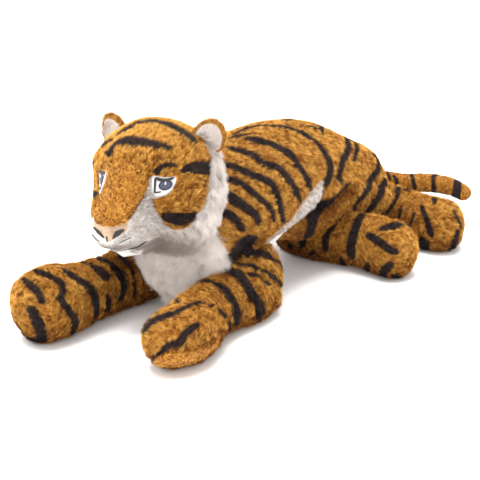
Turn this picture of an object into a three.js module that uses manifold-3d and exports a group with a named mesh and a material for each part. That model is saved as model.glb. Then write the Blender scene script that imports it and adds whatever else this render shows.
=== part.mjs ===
// Plush tiger lying down: striped sleeves for the legs and tail, a body sewn from
// panels, a head that can turn and nod on its stuffed neck, and folding ears.
// Millimetres, +Z up. The tiger faces -Y and its left side is +X.
import * as THREE from 'three';
import { ParametricGeometry } from 'three/addons/geometries/ParametricGeometry.js';
import { ConvexGeometry } from 'three/addons/geometries/ConvexGeometry.js';
import { mergeGeometries, mergeVertices } from 'three/addons/utils/BufferGeometryUtils.js';
import Module from 'manifold-3d';

const wasm = await Module();
wasm.setup();
const DEG = Math.PI / 180;

// ---------------------------------------------------------------- driving dimensions
const BOX_CENTRE = [24, 78.87]; // middle of the whole toy's box in the modelling frame, moved to x = y = 0
const PLUSH = 5; // plush fabric with its pile
const GAP = 0.3; // between pieces that are sewn face to face
const CLEAR = 1.2; // round a part that turns at its seam
const ROUND = 2.4; // how blunt the sewn ends are

// spines: x, y, z, half width, half height
const TORSO = [
  [-28, -150, 63, 62, 76], [-25, -108, 72, 79, 88], [-21, -56, 100, 87, 104], [-16, 19, 134, 91, 97],
  [-14, 94, 135, 91, 90], [-11, 169, 124, 89, 88], [-6, 235, 98, 88, 88], [4, 291, 78, 82, 82], [18, 355, 63, 63, 68]];
const FRONT_LEFT = [
  [30, 5, 68, 43, 47], [34, -12, 60, 41, 44], [55.6, -50, 46, 40, 42], [60.9, -93.2, 39, 39, 40], [60, -130, 35, 34, 36],
  [68, -176.7, 35, 34, 36], [84.3, -226.6, 38, 41, 39], [82.2, -261.8, 37, 40, 38], [62.2, -284.4, 36, 35, 37]];
const FRONT_RIGHT = [
  [-68, -44, 58, 38, 40], [-86, -98, 46, 38, 40], [-98, -134, 39, 37, 40], [-105, -177, 37, 37, 40],
  [-106, -232, 40, 38, 42], [-106, -285, 46, 42, 49], [-110, -312, 47, 42, 50], [-114, -333, 47, 41, 49]];
const HIND_NEAR = [
  [-42, 176, 33, 32, 33], [-10, 183, 39, 42, 42], [29, 181, 40, 42, 42], [68.6, 188, 39, 40, 40],
  [113.4, 192, 38, 42, 41], [161, 183, 39, 43, 43], [191, 180, 39, 42, 43]];
const HIND_FAR = [
  [-2, 249, 88, 54, 56], [32, 282, 72, 46, 50], [54, 328, 50, 40, 43], [93, 345, 39, 38, 40],
  [146, 334, 38, 41, 42], [178, 336, 38, 41, 42], [202.6, 341, 38, 41, 42]];
const TAIL = [
  [2, 347, 87, 18, 18], [19, 367, 83, 18, 18], [39, 391, 77, 18, 18], [62, 412, 73, 17.5, 17.5],
  [84, 436, 72, 17, 17], [110, 462, 66, 16.5, 16.5], [134, 476, 56, 15.5, 15.5], [152, 473, 47, 14.5, 14.5]];

// head: its centre, and how far it is turned and tipped
const HEAD = [-45.6, -129.3, 181.4];
const HEAD_YAW = 8;
const HEAD_ROLL = -5;
const NECK = [-36, -75, 122]; // middle of the stuffed neck
const NECK_R = 36;
const EAR = [78, 18, 66]; // ear base on the head, mirrored for the right ear
const EAR_SIZE = [24, 9, 28];

// ranges of the sewn joints, degrees
const TURN = [-20, 20];
const NOD = [-12, 6];
const SWING = { fl: [-5, 15], fr: [-15, 5], hn: [-15, 8], hf: [-10, 1.5], tail: [-1, 25] };
const EAR_FOLD = [-15, 15];

// ---------------------------------------------------------------- solids and geometry
function weld(geometry) {
  const g = geometry.clone();
  g.deleteAttribute('normal');
  g.deleteAttribute('uv');
  const m = mergeVertices(g, 1e-3);
  const ix = m.index.array;
  const keep = [];
  for (let i = 0; i < ix.length; i += 3) {
    const [a, b, c] = [ix[i], ix[i + 1], ix[i + 2]];
    if (a !== b && b !== c && a !== c) keep.push(a, b, c);
  }
  m.setIndex(keep);
  return m;
}
function solid(geometry) {
  const m = weld(geometry);
  return new wasm.Manifold(new wasm.Mesh({
    numProp: 3,
    vertProperties: new Float32Array(m.attributes.position.array),
    triVerts: new Uint32Array(m.index.array),
  }));
}
function biggest(s) {
  const parts = s.decompose();
  parts.sort((a, b) => b.volume() - a.volume());
  return parts[0];
}
function geometryOf(s, tolerance = 0.12) {
  const one = biggest(s.simplify ? s.simplify(tolerance) : s);
  const { vertProperties, triVerts } = one.getMesh();
  const g = new THREE.BufferGeometry();
  g.setAttribute('position', new THREE.BufferAttribute(new Float32Array(vertProperties), 3));
  g.setIndex(Array.from(triVerts));
  g.computeVertexNormals();
  return g;
}
const union = (list) => list.reduce((a, b) => a.add(b));
const minus = (a, list) => list.reduce((s, b) => s.subtract(b), a);
function moved(s, matrix) {
  return s.transform(Array.from(matrix.elements));
}
function turn(pivot, axis, deg) {
  return new THREE.Matrix4().makeTranslation(...pivot)
    .multiply(new THREE.Matrix4().makeRotationAxis(new THREE.Vector3(...axis), deg * DEG))
    .multiply(new THREE.Matrix4().makeTranslation(-pivot[0], -pivot[1], -pivot[2]));
}
const turned = (s, pivot, axis, deg) => moved(s, turn(pivot, axis, deg));
// the smallest convex body round a cloud of points seen in several positions
function wrap(points, positions) {
  const all = [];
  for (const m of positions) for (const p of points) all.push(p.clone().applyMatrix4(m));
  return solid(new ConvexGeometry(all));
}

// ---------------------------------------------------------------- stuffed tubes along a spine
function spine(rows) {
  const path = new THREE.CatmullRomCurve3(rows.map((r) => new THREE.Vector3(r[0], r[1], r[2])), false, 'catmullrom', 0.5);
  const size = new THREE.CatmullRomCurve3(rows.map((r) => new THREE.Vector3(r[3], r[4], 0)), false, 'catmullrom', 0.5);
  const N = 400;
  const pts = path.getPoints(N);
  const arc = [0];
  for (let i = 1; i <= N; i++) arc.push(arc[i - 1] + pts[i].distanceTo(pts[i - 1]));
  const length = arc[N];
  const r0 = rows[0][3];
  const r1 = rows[rows.length - 1][3];
  function at(d) {
    const q = Math.min(Math.max(d, 0), length);
    let i = 1;
    while (i < N && arc[i] < q) i++;
    const u = (i - 1 + (q - arc[i - 1]) / (arc[i] - arc[i - 1])) / N;
    const T = path.getPoint(Math.min(u + 0.004, 1)).sub(path.getPoint(Math.max(u - 0.004, 0))).normalize();
    const c = path.getPoint(u).addScaledVector(T, d - q);
    const s = size.getPoint(u);
    const lat = new THREE.Vector3().crossVectors(T, new THREE.Vector3(0, 0, 1)).normalize();
    const up = new THREE.Vector3().crossVectors(lat, T);
    return { c, T, lat, up, rl: s.x, rv: s.y };
  }
  // a point on the skin, grow outside the drawn surface, never below the floor height;
  // an open root keeps its full section instead of being rounded off
  function skin(d, angle, grow, floor, target, openRoot = false) {
    const f = at(d);
    const a = d + grow, b = length + grow - d;
    const cap = (e, r) => (e >= r ? 1 : Math.pow(Math.max(0, 1 - Math.pow(Math.max(0, 1 - e / r), ROUND)), 1 / ROUND));
    const k = (openRoot ? 1 : cap(a, r0 + grow)) * cap(b, r1 + grow);
    target.copy(f.c)
      .addScaledVector(f.lat, Math.cos(angle) * (f.rl + grow) * k)
      .addScaledVector(f.up, Math.sin(angle) * (f.rv + grow) * k);
    if (target.z < floor) target.z = floor;
    return target;
  }
  // arc length where the spine passes a y
  function lengthAtY(y) {
    for (let i = 1; i <= N; i++) if ((pts[i - 1].y - y) * (pts[i].y - y) <= 0) return arc[i];
    return length;
  }
  return { at, skin, length, r0, r1, lengthAtY };
}
function tubeGeometry(sp, sides, rings, grow = 0, floor = 0, from = null, to = null) {
  const g = new THREE.SphereGeometry(1, sides, rings);
  const p = g.attributes.position;
  const a = from === null ? -grow : from;
  const b = to === null ? sp.length + grow : to;
  const v = new THREE.Vector3();
  const open = { from: from !== null, to: to !== null };
  for (let i = 0; i < p.count; i++) {
    const s = (1 - p.getY(i)) / 2;
    let d = a + (b - a) * s;
    const angle = -Math.atan2(p.getZ(i), p.getX(i));
    const pole = Math.abs(p.getY(i)) > 0.99999;
    if (pole && ((s < 0.5 && open.from) || (s > 0.5 && open.to))) {
      v.copy(sp.at(d).c);
      v.z = Math.max(v.z, floor);
    } else {
      const r = Math.hypot(p.getX(i), p.getZ(i));
      sp.skin(d, angle, grow, floor, v, open.from);
      if (pole || r < 1e-6) v.copy(sp.at(d).c);
    }
    p.setXYZ(i, v.x, v.y, v.z);
  }
  return g;
}

// a curved panel with thickness: outer and inner faces and its four rims
function panel(outer, inner, nu, nv) {
  const faces = [
    new ParametricGeometry((u, v, t) => outer(u, v, t), nu, nv),
    new ParametricGeometry((u, v, t) => inner(1 - u, v, t), nu, nv),
  ];
  const a = new THREE.Vector3(), b = new THREE.Vector3();
  const rim = (edge, flip, n) => new ParametricGeometry((u, v, t) => {
    const w = flip ? 1 - u : u;
    const [s, q] = edge(w);
    outer(s, q, a);
    inner(s, q, b);
    t.lerpVectors(a, b, v);
  }, n, 1);
  faces.push(rim((w) => [w, 0], true, nu), rim((w) => [w, 1], false, nu));
  faces.push(rim((w) => [0, w], false, nv), rim((w) => [1, w], true, nv));
  const s0 = solid(mergeGeometries(faces));
  if (s0.volume() > 0) return s0;
  const all = mergeGeometries(faces);
  const ix = all.index.array;
  for (let i = 0; i < ix.length; i += 3) [ix[i], ix[i + 1]] = [ix[i + 1], ix[i]];
  return solid(all);
}

// a flat outline pushed through space: outline in the plane of (right, up), pushed along dir
function prism(outline, origin, right, up, near, far, grow = 0) {
  let pts = outline.map(([x, y]) => new THREE.Vector2(x, y));
  if (THREE.ShapeUtils.area(pts) < 0) pts.reverse();
  if (grow) {
    const n = pts.length;
    pts = pts.map((p, i) => {
      const e0 = p.clone().sub(pts[(i + n - 1) % n]).normalize();
      const e1 = pts[(i + 1) % n].clone().sub(p).normalize();
      const m = new THREE.Vector2(e0.y + e1.y, -(e0.x + e1.x)).normalize();
      const k = grow / Math.max(0.4, m.dot(new THREE.Vector2(e0.y, -e0.x)));
      return p.clone().addScaledVector(m, k);
    });
  }
  const g = new THREE.ExtrudeGeometry(new THREE.Shape(pts), { depth: far - near, bevelEnabled: false, steps: 1 });
  const R = new THREE.Vector3(...right).normalize();
  const U = new THREE.Vector3(...up);
  const D = new THREE.Vector3().crossVectors(R, U).normalize();
  U.crossVectors(D, R).normalize();
  const m = new THREE.Matrix4().makeBasis(R, U, D);
  m.setPosition(new THREE.Vector3(...origin).addScaledVector(D, near));
  g.applyMatrix4(m);
  return solid(g);
}

// ---------------------------------------------------------------- body
const torso = spine(TORSO);
const skinned = (grow, floor) => (d, th, t) => torso.skin(d, th, grow, floor, t);
const outerBody = skinned(0, 0);
const innerBody = skinned(-PLUSH, PLUSH);

// seams on the body, degrees round the section, against y: left and right edge of the white underside
const UNDERSIDE = [
  [-150, 44, -224], [-120, 40, -220], [-108, 14, -196], [-98, -4, -178], [-80, -16, -168], [-20, -14.5, -166],
  [10, -13.7, -166], [28, -9.6, -166], [43, -4.6, -166], [58, 0.5, -165], [75, 7, -164], [90, 11.3, -163], [104, 15, -162],
  [116, -16, -154], [125, -22, -150], [160, -38, -145], [230, -50, -140], [320, -62, -128]];
function seam(y, col) {
  const T = UNDERSIDE;
  if (y <= T[0][0]) return T[0][col];
  for (let i = 1; i < T.length; i++) {
    if (y <= T[i][0]) {
      const k = (y - T[i - 1][0]) / (T[i][0] - T[i - 1][0]);
      return T[i - 1][col] + k * (T[i][col] - T[i - 1][col]);
    }
  }
  return T[T.length - 1][col];
}
// stations along the body that every panel shares, so that their seams match
const bibEnd = torso.lengthAtY(-18);
const bellyEnd = torso.lengthAtY(310);
const tailEnd = torso.length - 0.6;
const stations = [20, 32, 46, 66, 90, 114, bibEnd];
for (const y of [12, 43, 74, 104, 116, 150, 200, 250, 283]) stations.push(torso.lengthAtY(y));
stations.push(bellyEnd);
for (const k of [0.3, 0.55, 0.75, 0.9, 0.975, 1]) stations.push(bellyEnd + (tailEnd - bellyEnd) * k);
const bodyPanel = (i0, i1, edgeA, edgeB, nv, endGap = 0) => {
  const f = (surface) => (u, v, t) => {
    const i = i0 + Math.round((i1 - i0) * u);
    const d = stations[i] + (i === i0 ? endGap : 0);
    const s = torso.at(d);
    const gapAngle = ((i < 6 ? 1.8 : 1) * GAP) / Math.min(s.rl, s.rv) / DEG; // wider where the seam slants
    const a = edgeA(s.c.y) + gapAngle;
    const b = edgeB(s.c.y) - gapAngle;
    surface(d, (a + (b - a) * v) * DEG, t);
  };
  return panel(f(outerBody), f(innerBody), i1 - i0, nv);
};
const frontBlock = (g) => prism([[-200, -40], [200, -40], [200, 260], [-200, 260]], [0, 0, 0], [1, 0, 0], [0, 0, 1], 115 - g, 260);
// the bib closes the whole front end like a cup and runs back under the throat as a band
const cup = solid(tubeGeometry(torso, 20, 14)).subtract(solid(tubeGeometry(torso, 20, 14, -PLUSH, PLUSH))).intersect(frontBlock(0));
const whiteEdge = (y) => seam(y, 1);
const farEdge = (y) => seam(y, 2);
const last = stations.length - 1;
const bibBand = bodyPanel(0, 6, farEdge, whiteEdge, 12);
const flankLeft = bodyPanel(0, last, whiteEdge, () => 90, 6).subtract(frontBlock(GAP));
const flankRight = bodyPanel(0, last, () => 90, (y) => 360 + farEdge(y), 7).subtract(frontBlock(GAP));
const belly = bodyPanel(6, 16, farEdge, whiteEdge, 9, GAP);
const rumpBelly = bodyPanel(16, last, farEdge, whiteEdge, 6, GAP);
const torsoStuffing = solid(tubeGeometry(torso, 20, 14, -PLUSH - 4.6, PLUSH + 4.6));
const chestBib = cup.add(bibBand);

// ---------------------------------------------------------------- head form
const ellipsoid = (x, y, z, c, r) => {
  const qx = (x - c[0]) / r[0], qy = (y - c[1]) / r[1], qz = (z - c[2]) / r[2];
  const k0 = Math.hypot(qx, qy, qz);
  const k1 = Math.hypot(qx / r[0], qy / r[1], qz / r[2]) + 1e-9;
  return (k0 * (k0 - 1)) / k1;
};
const capsule = (x, y, z, a, b, ra, rb, flat) => {
  const ab = [b[0] - a[0], b[1] - a[1], b[2] - a[2]];
  const p = [x - a[0], y - a[1], z - a[2]];
  const t = Math.min(1, Math.max(0, (p[0] * ab[0] + p[1] * ab[1] + p[2] * ab[2]) / (ab[0] ** 2 + ab[1] ** 2 + ab[2] ** 2)));
  return Math.hypot((p[0] - ab[0] * t) / flat, p[1] - ab[1] * t, p[2] - ab[2] * t) - (ra + (rb - ra) * t);
};
const blend = (a, b, k) => {
  const h = Math.min(1, Math.max(0, 0.5 + (0.5 * (b - a)) / k));
  return b * (1 - h) + a * h - k * h * (1 - h);
};
function headForm(x, y, z) {
  let d = ellipsoid(x, y, z, [0, 4, 3], [92, 84, 88]); // skull
  for (const s of [1, -1]) d = blend(d, ellipsoid(x, y, z, [s * 46, -18, -28], [46, 56, 48]), 16); // cheeks
  d = blend(d, capsule(x, y, z, [0, -52, 40], [0, -98, -14], 31, 25, 1.15), 22); // brow and bridge
  d = blend(d, ellipsoid(x, y, z, [0, -82, -38], [43, 40, 36]), 14); // muzzle
  d = blend(d, ellipsoid(x, y, z, [0, -74, -58], [30, 32, 22]), 12); // chin
  return d;
}
const HEART = [0, -12, -4]; // every point of the head's skin is seen from here
function headGeometry(detail, grow = 0) {
  const g = new THREE.IcosahedronGeometry(1, detail);
  const p = g.attributes.position;
  for (let i = 0; i < p.count; i++) {
    const n = Math.hypot(p.getX(i), p.getY(i), p.getZ(i));
    const [ux, uy, uz] = [p.getX(i) / n, p.getY(i) / n, p.getZ(i) / n];
    const f = (r) => headForm(HEART[0] + ux * r, HEART[1] + uy * r, HEART[2] + uz * r) - grow;
    let hi = 190;
    while (hi > 2 && f(hi) > 0) hi -= 4;
    let lo = hi, up = hi + 4;
    for (let k = 0; k < 18; k++) {
      const m = (lo + up) / 2;
      if (f(m) > 0) up = m; else lo = m;
    }
    p.setXYZ(i, HEART[0] + ux * lo, HEART[1] + uy * lo, HEART[2] + uz * lo);
  }
  return g;
}
const headPose = new THREE.Matrix4().makeTranslation(...HEAD)
  .multiply(new THREE.Matrix4().makeRotationZ(HEAD_YAW * DEG))
  .multiply(new THREE.Matrix4().makeRotationY(HEAD_ROLL * DEG));
const headInv = headPose.clone().invert();
const neckLocal = new THREE.Vector3(...NECK).applyMatrix4(headInv).toArray();
const ball = (c, r, detail = 4) => {
  const g = new THREE.IcosahedronGeometry(r, detail);
  g.translate(...c);
  return solid(g);
};

const headOuter = solid(headGeometry(6));
const headInner = solid(headGeometry(4, -PLUSH));
const headShell = headOuter.subtract(headInner).subtract(ball(neckLocal, NECK_R + CLEAR));
const headStuffing = solid(headGeometry(4, -PLUSH - 0.5)).subtract(ball(neckLocal, NECK_R + CLEAR));

// outlines of the face in front view (x, z), pushed along the face
const FRONT = [[1, 0, 0], [0, 0, 1]];
const crownHalf = [[200, 200], [200, 33], [88, 33], [72, 31.5], [56, 30.5], [43, 31.5], [39, 22], [36, 6], [32, -8], [27, -16], [14, -20], [0, -22]];
const mirror = (half) => half.concat(half.slice().reverse().filter(([x]) => x > 0.5).map(([x, z]) => [-x, z]));
const crownFront = mirror(crownHalf);
const noseOutline = mirror([[0, -22], [14, -20], [27, -16], [24, -27], [11, -34], [0, -42]].filter(([x], i) => i > 0 || x === 0))
  .filter((p, i, l) => l.findIndex((q) => q[0] === p[0] && q[1] === p[1]) === i);
const muzzleOutline = mirror([[0, 10], [46, 10], [48, -30], [40, -58], [22, -76], [0, -80]]
  .filter((p, i, l) => l.findIndex((q) => q[0] === p[0] && q[1] === p[1]) === i));
// outline of a cheek patch in side view (y, z)
const cheekOutline = [[-78, 5], [-75, -12], [-74, -32], [-62, -39], [-48, -31], [-26, -16], [-12, 10], [2, 38], [-32, 38], [-46, 38], [-53, 14], [-64, 4]];

const front = (o, near, far, grow = 0) => prism(o, [0, 0, 0], ...FRONT, near, far, grow);
const backBlock = (g) => prism([[-150 - g, -34 - g], [150 + g, -34 - g], [150 + g, 150], [-150 - g, 150]], [0, 0, 0], ...FRONT, -150, -26 + g);
const crownCut = (g) => front(crownFront, -26 - 0.1, 220, g).add(backBlock(g));
const cheekCut = (s, g) => {
  const side = cheekOutline.map(([y, z]) => [s > 0 ? y : -y, z]);
  return prism(side, [0, 0, 0], [0, s > 0 ? 1 : -1, 0], [0, 0, 1], 40 - g, 150, g);
};
const noseCut = (g) => front(noseOutline, 92 - g, 200, g);
const muzzleCut = (g) => front(muzzleOutline, 88 - g, 200, g);

const nosePatch = headShell.intersect(noseCut(0));
const crown = headShell.intersect(crownCut(0)).subtract(noseCut(GAP));
const cheekL = headShell.intersect(cheekCut(1, 0)).subtract(crownCut(GAP));
const cheekR = headShell.intersect(cheekCut(-1, 0)).subtract(crownCut(GAP));
const muzzle = minus(headShell.intersect(muzzleCut(0)), [crownCut(GAP), noseCut(GAP)]);
const ruff = minus(headShell, [crownCut(GAP), noseCut(GAP), muzzleCut(GAP), cheekCut(1, GAP), cheekCut(-1, GAP)]);

// thin pieces sewn on the skin: a layer between two heights above it
const layers = {};
const layer = (lo, hi) => {
  const k = `${lo},${hi}`;
  layers[k] = layers[k] || solid(headGeometry(6, hi)).subtract(solid(headGeometry(6, lo)));
  return layers[k];
};
// a stitched line of some width through points, in front view
function stroke(points, width) {
  const c = new THREE.CatmullRomCurve3(points.map(([x, z]) => new THREE.Vector3(x, z, 0)), false, 'catmullrom', 0.5).getPoints(6);
  const left = [], right = [];
  c.forEach((p, i) => {
    const q = c[Math.min(i + 1, c.length - 1)].clone().sub(c[Math.max(i - 1, 0)]).normalize();
    left.push([p.x - (q.y * width) / 2, p.y + (q.x * width) / 2]);
    right.push([p.x + (q.y * width) / 2, p.y - (q.x * width) / 2]);
  });
  return left.concat(right.reverse());
}
const sew = (outline, lo, hi, near = 60) => layer(lo, hi).intersect(front(outline, near, 200));
const sides = { left: 1, right: -1 };
const flip = (o, s) => o.map(([x, z]) => [x * s, z]);
const face = {};
for (const [name, s] of Object.entries(sides)) {
  const eye = [[39, 33], [52, 33], [66, 31], [69, 25], [64, 14], [55, 6], [46, 3], [40, 8], [38, 20]];
  const lid = [[42, 31.5], [53, 31.5], [66, 29.5], [66, 27], [55, 28.5], [46, 28.5], [45, 14], [52, 13], [52, 10.5], [42.5, 11]];
  const iris = [];
  for (let i = 0; i < 14; i++) {
    const a = (i / 14) * 2 * Math.PI;
    iris.push([54.5 + 6.6 * Math.cos(a), Math.min(20.2 + 8.4 * Math.sin(a), 27.9)]);
  }
  const nostril = [[9, -36], [13, -29], [20, -25], [24, -24], [21, -29], [15, -34]];
  face[`eye_white_${name}`] = sew(flip(eye, s), 0.3, 1.5, 30);
  face[`lid_outline_${name}`] = sew(flip(lid, s), 1.8, 2.8, 30).subtract(front(flip(iris, s), 20, 200, GAP));
  face[`iris_${name}`] = sew(flip(iris, s), 1.8, 3.0, 30);
  face[`nostril_${name}`] = sew(flip(nostril, s), 0.3, 1.3);
}
face.philtrum_stitch = sew([[-1, -36], [1, -36], [1, -50], [-1, -50]], 0.3, 1.3);
face.mouth_stitch_left = sew(stroke([[3, -53], [14, -56], [26, -54], [40, -48]], 2), 0.3, 1.3);
face.mouth_stitch_right = sew(stroke([[-3, -53], [-14, -56], [-26, -54], [-40, -48]], 2), 0.3, 1.3);
face.lip_stitch_left = sew(stroke([[16, -46], [26, -43], [34, -38]], 1.6), 0.3, 1.3);
face.lip_stitch_right = sew(stroke([[-16, -46], [-26, -43], [-34, -38]], 1.6), 0.3, 1.3);

// ---------------------------------------------------------------- ears
const earParts = {};
const headClear = solid(headGeometry(4, 1.3));
for (const [name, s] of Object.entries(sides)) {
  const pose = new THREE.Matrix4().makeTranslation(s * EAR[0], EAR[1], EAR[2])
    .multiply(new THREE.Matrix4().makeRotationY(s * 32 * DEG))
    .multiply(new THREE.Matrix4().makeRotationZ(s * 14 * DEG));
  const egg = (r, c, d) => {
    const g = new THREE.IcosahedronGeometry(1, d);
    g.scale(...r);
    g.translate(...c);
    return moved(solid(g), pose);
  };
  const axis = new THREE.Vector3(1, 0, 0).transformDirection(pose).toArray();
  const base = new THREE.Vector3(0, 0, -16).applyMatrix4(pose).toArray();
  const keepOut = [0, EAR_FOLD[0], EAR_FOLD[1]].map((a) => turned(headClear, base, axis, -a));
  const cup = egg(EAR_SIZE, [0, 0, 0], 3);
  const hollow = egg([19, 8, 22], [0, -6.5, -1], 3);
  const liner = egg([18.4, 7.4, 21.4], [0, -6.5, -1], 3).subtract(egg([18.6, 7.6, 23], [0, -10.5, -1], 3));
  earParts[name] = {
    back: minus(cup.subtract(hollow), keepOut),
    inner: minus(liner, keepOut),
    axis, base,
  };
}

// ---------------------------------------------------------------- legs and tail
const limbs = {
  fl: spine(FRONT_LEFT), fr: spine(FRONT_RIGHT), hn: spine(HIND_NEAR), hf: spine(HIND_FAR), tail: spine(TAIL),
};
const limbSides = { fl: 14, fr: 14, hn: 14, hf: 14, tail: 10 };
const limbRings = { fl: 14, fr: 13, hn: 12, hf: 13, tail: 13 };
const pivots = {};
const covers = {};
const fillings = {};
const sweeps = {};
for (const [key, sp] of Object.entries(limbs)) {
  const wall = key === 'tail' ? 3.5 : PLUSH;
  const [n, m] = [limbSides[key], limbRings[key]];
  pivots[key] = sp.at(sp.r0).c.toArray();
  const outer = solid(tubeGeometry(sp, n, m));
  const core = (g) => solid(tubeGeometry(sp, n - 4, m - 3, -wall - g, wall + g, -sp.r0 * 0.5));
  covers[key] = outer.subtract(core(0));
  fillings[key] = core(1).intersect(solid(tubeGeometry(sp, n, m, -1, 1)));
  // the room that the root of the limb needs as it swings
  const [lo, hi] = SWING[key];
  const angles = [lo, 0, hi].map((a) => turn(pivots[key], [0, 0, 1], a));
  const band = (from, to) => {
    const pts = [];
    for (let i = 0; i <= 7; i++) {
      const w = from < 0 ? (i / 7) ** 1.8 : i / 7;
      for (let j = 0; j < n; j++) {
        pts.push(sp.skin(from + (to - from) * w, (j / n) * 2 * Math.PI, CLEAR, -6, new THREE.Vector3()));
      }
    }
    return wrap(pts, angles);
  };
  const L = sp.length;
  sweeps[key] = band(-CLEAR, L * 0.2).add(band(L * 0.17, L * 0.38)).add(band(L * 0.35, L * 0.6));
}

// ---------------------------------------------------------------- room for the head to turn and nod
const headPoints = [];
{
  const p = headGeometry(3, CLEAR + 0.8).attributes.position;
  for (let i = 0; i < p.count; i++) headPoints.push(new THREE.Vector3().fromBufferAttribute(p, i).applyMatrix4(headPose));
}
const headTurns = [];
for (const t of [TURN[0], 0, TURN[1]]) {
  for (const n of NOD) headTurns.push(turn(NECK, [0, 0, 1], t).multiply(turn(NECK, [1, 0, 0], n)));
}
const headSweep = wrap(headPoints, headTurns);
const neckRoom = ball(NECK, NECK_R + CLEAR);
const neck = ball(NECK, NECK_R, 3);

const bodyCuts = [headSweep, neckRoom, ...Object.values(sweeps)];
const trimmed = (s) => biggest(minus(s, bodyCuts));

// ---------------------------------------------------------------- scene
const ORANGE = { color: 0xbe8237, roughness: 0.95, metalness: 0 };
const WHITE = { color: 0xe1dcd7, roughness: 0.95, metalness: 0 };
const FIBRE = { color: 0xf0eee8, roughness: 1, metalness: 0 };
const DARK = { color: 0x1e1a1c, roughness: 0.8, metalness: 0 };
const PEACH = { color: 0xe1c8aa, roughness: 0.8, metalness: 0 };
const GREY = { color: 0x555a73, roughness: 0.6, metalness: 0 };

const tiger = new THREE.Group();
tiger.name = 'tiger';
tiger.position.set(-BOX_CENTRE[0], -BOX_CENTRE[1], 0);
const headGroup = new THREE.Group();
headPose.decompose(headGroup.position, headGroup.quaternion, headGroup.scale);
tiger.add(headGroup);

function put(group, name, s, look, tolerance) {
  const mesh = new THREE.Mesh(geometryOf(s, tolerance), new THREE.MeshStandardMaterial(look));
  mesh.name = name;
  group.add(mesh);
}

put(tiger, 'flank_panel_left', trimmed(flankLeft), ORANGE);
put(tiger, 'flank_panel_right', trimmed(flankRight), ORANGE);
put(tiger, 'belly_panel', trimmed(belly), WHITE);
put(tiger, 'rump_panel', trimmed(rumpBelly), ORANGE);
put(tiger, 'chest_bib', trimmed(chestBib), WHITE);
put(tiger, 'torso_stuffing', trimmed(torsoStuffing), FIBRE, 0.5);
put(tiger, 'neck_stuffing', neck, FIBRE);

put(headGroup, 'head_crown_panel', biggest(crown), ORANGE);
put(headGroup, 'cheek_patch_left', biggest(cheekL), ORANGE);
put(headGroup, 'cheek_patch_right', biggest(cheekR), ORANGE);
put(headGroup, 'face_ruff_panel', biggest(ruff), WHITE);
put(headGroup, 'muzzle_panel', biggest(muzzle), WHITE);
put(headGroup, 'nose_patch', biggest(nosePatch), PEACH);
put(headGroup, 'head_stuffing', biggest(headStuffing), FIBRE, 0.3);
for (const [name, s] of Object.entries(face)) {
  const look = name.startsWith('eye') ? WHITE : name.startsWith('iris') ? GREY : DARK;
  put(headGroup, name, s, look, 0.05);
}
for (const [name, e] of Object.entries(earParts)) {
  put(headGroup, `ear_back_${name}`, e.back, ORANGE);
  put(headGroup, `ear_inner_${name}`, e.inner, WHITE);
}
const limbNames = { fl: 'front_leg_left', fr: 'front_leg_right', hn: 'hind_leg_right', hf: 'hind_leg_left', tail: 'tail' };
for (const [key, name] of Object.entries(limbNames)) {
  put(tiger, `${name}_cover`, covers[key], ORANGE);
  put(tiger, `${name}_stuffing`, fillings[key], FIBRE);
}

export default tiger;
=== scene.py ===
import bpy
import math
import numpy as np
from mathutils import Vector, Matrix
from mathutils.bvhtree import BVHTree


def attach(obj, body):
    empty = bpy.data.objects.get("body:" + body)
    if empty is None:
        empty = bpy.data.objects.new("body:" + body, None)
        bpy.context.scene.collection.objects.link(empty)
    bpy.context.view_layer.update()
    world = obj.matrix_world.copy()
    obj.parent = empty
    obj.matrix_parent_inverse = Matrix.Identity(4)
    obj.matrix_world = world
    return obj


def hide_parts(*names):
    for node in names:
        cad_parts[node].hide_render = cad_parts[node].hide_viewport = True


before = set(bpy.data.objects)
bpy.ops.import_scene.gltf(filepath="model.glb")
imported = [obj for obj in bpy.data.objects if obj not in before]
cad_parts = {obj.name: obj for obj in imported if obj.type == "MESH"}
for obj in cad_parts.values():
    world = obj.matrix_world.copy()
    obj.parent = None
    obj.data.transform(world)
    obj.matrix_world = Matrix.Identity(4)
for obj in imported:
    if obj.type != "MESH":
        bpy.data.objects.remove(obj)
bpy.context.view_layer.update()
SHIFT = np.array([24.0, 78.87, 0.0])  # the modelling frame (mm) to the row frame


def row(p):
    return (np.asarray(p, float) - SHIFT) / 1000.0


# ------------------------------------------------------------------ camera at the photograph's view
AZ, EL, DIST, FOV = math.radians(36), math.radians(20), 1504.0, math.radians(26.5)
TARGET = np.array([0.0, 0.0, 75.2])
BACK = np.array([math.sin(AZ) * math.cos(EL), -math.cos(AZ) * math.cos(EL), math.sin(EL)])
RIGHT = np.array([math.cos(AZ), math.sin(AZ), 0.0])
UP = np.cross(BACK, RIGHT)
EYE = TARGET + BACK * DIST
FOCAL = 240 / math.tan(FOV / 2)


def sight(u, v):
    d = -BACK * FOCAL + RIGHT * (u - 240) - UP * (v - 240)
    return d / np.linalg.norm(d)


def seen_at(p):
    """Where points fall in the 480 x 480 view."""
    w = np.asarray(p, float) - EYE
    z = -(w @ BACK)
    return np.stack([240 + FOCAL * (w @ RIGHT) / z, 240 - FOCAL * (w @ UP) / z], -1)


def smooth(x, a, b):
    t = np.clip((x - a) / (b - a), 0, 1)
    return t * t * (3 - 2 * t)


cam_data = bpy.data.cameras.new("camera")
cam = bpy.data.objects.new("camera", cam_data)
bpy.context.scene.collection.objects.link(cam)
cam.location = Vector(row(EYE))
cam.rotation_mode = "QUATERNION"
cam.rotation_quaternion = (-Vector(BACK)).to_track_quat("-Z", "Y")
cam_data.sensor_width = 36
cam_data.lens = 18 / math.tan(FOV / 2)
cam_data.clip_start, cam_data.clip_end = 0.05, 20
bpy.context.scene.camera = cam


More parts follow.
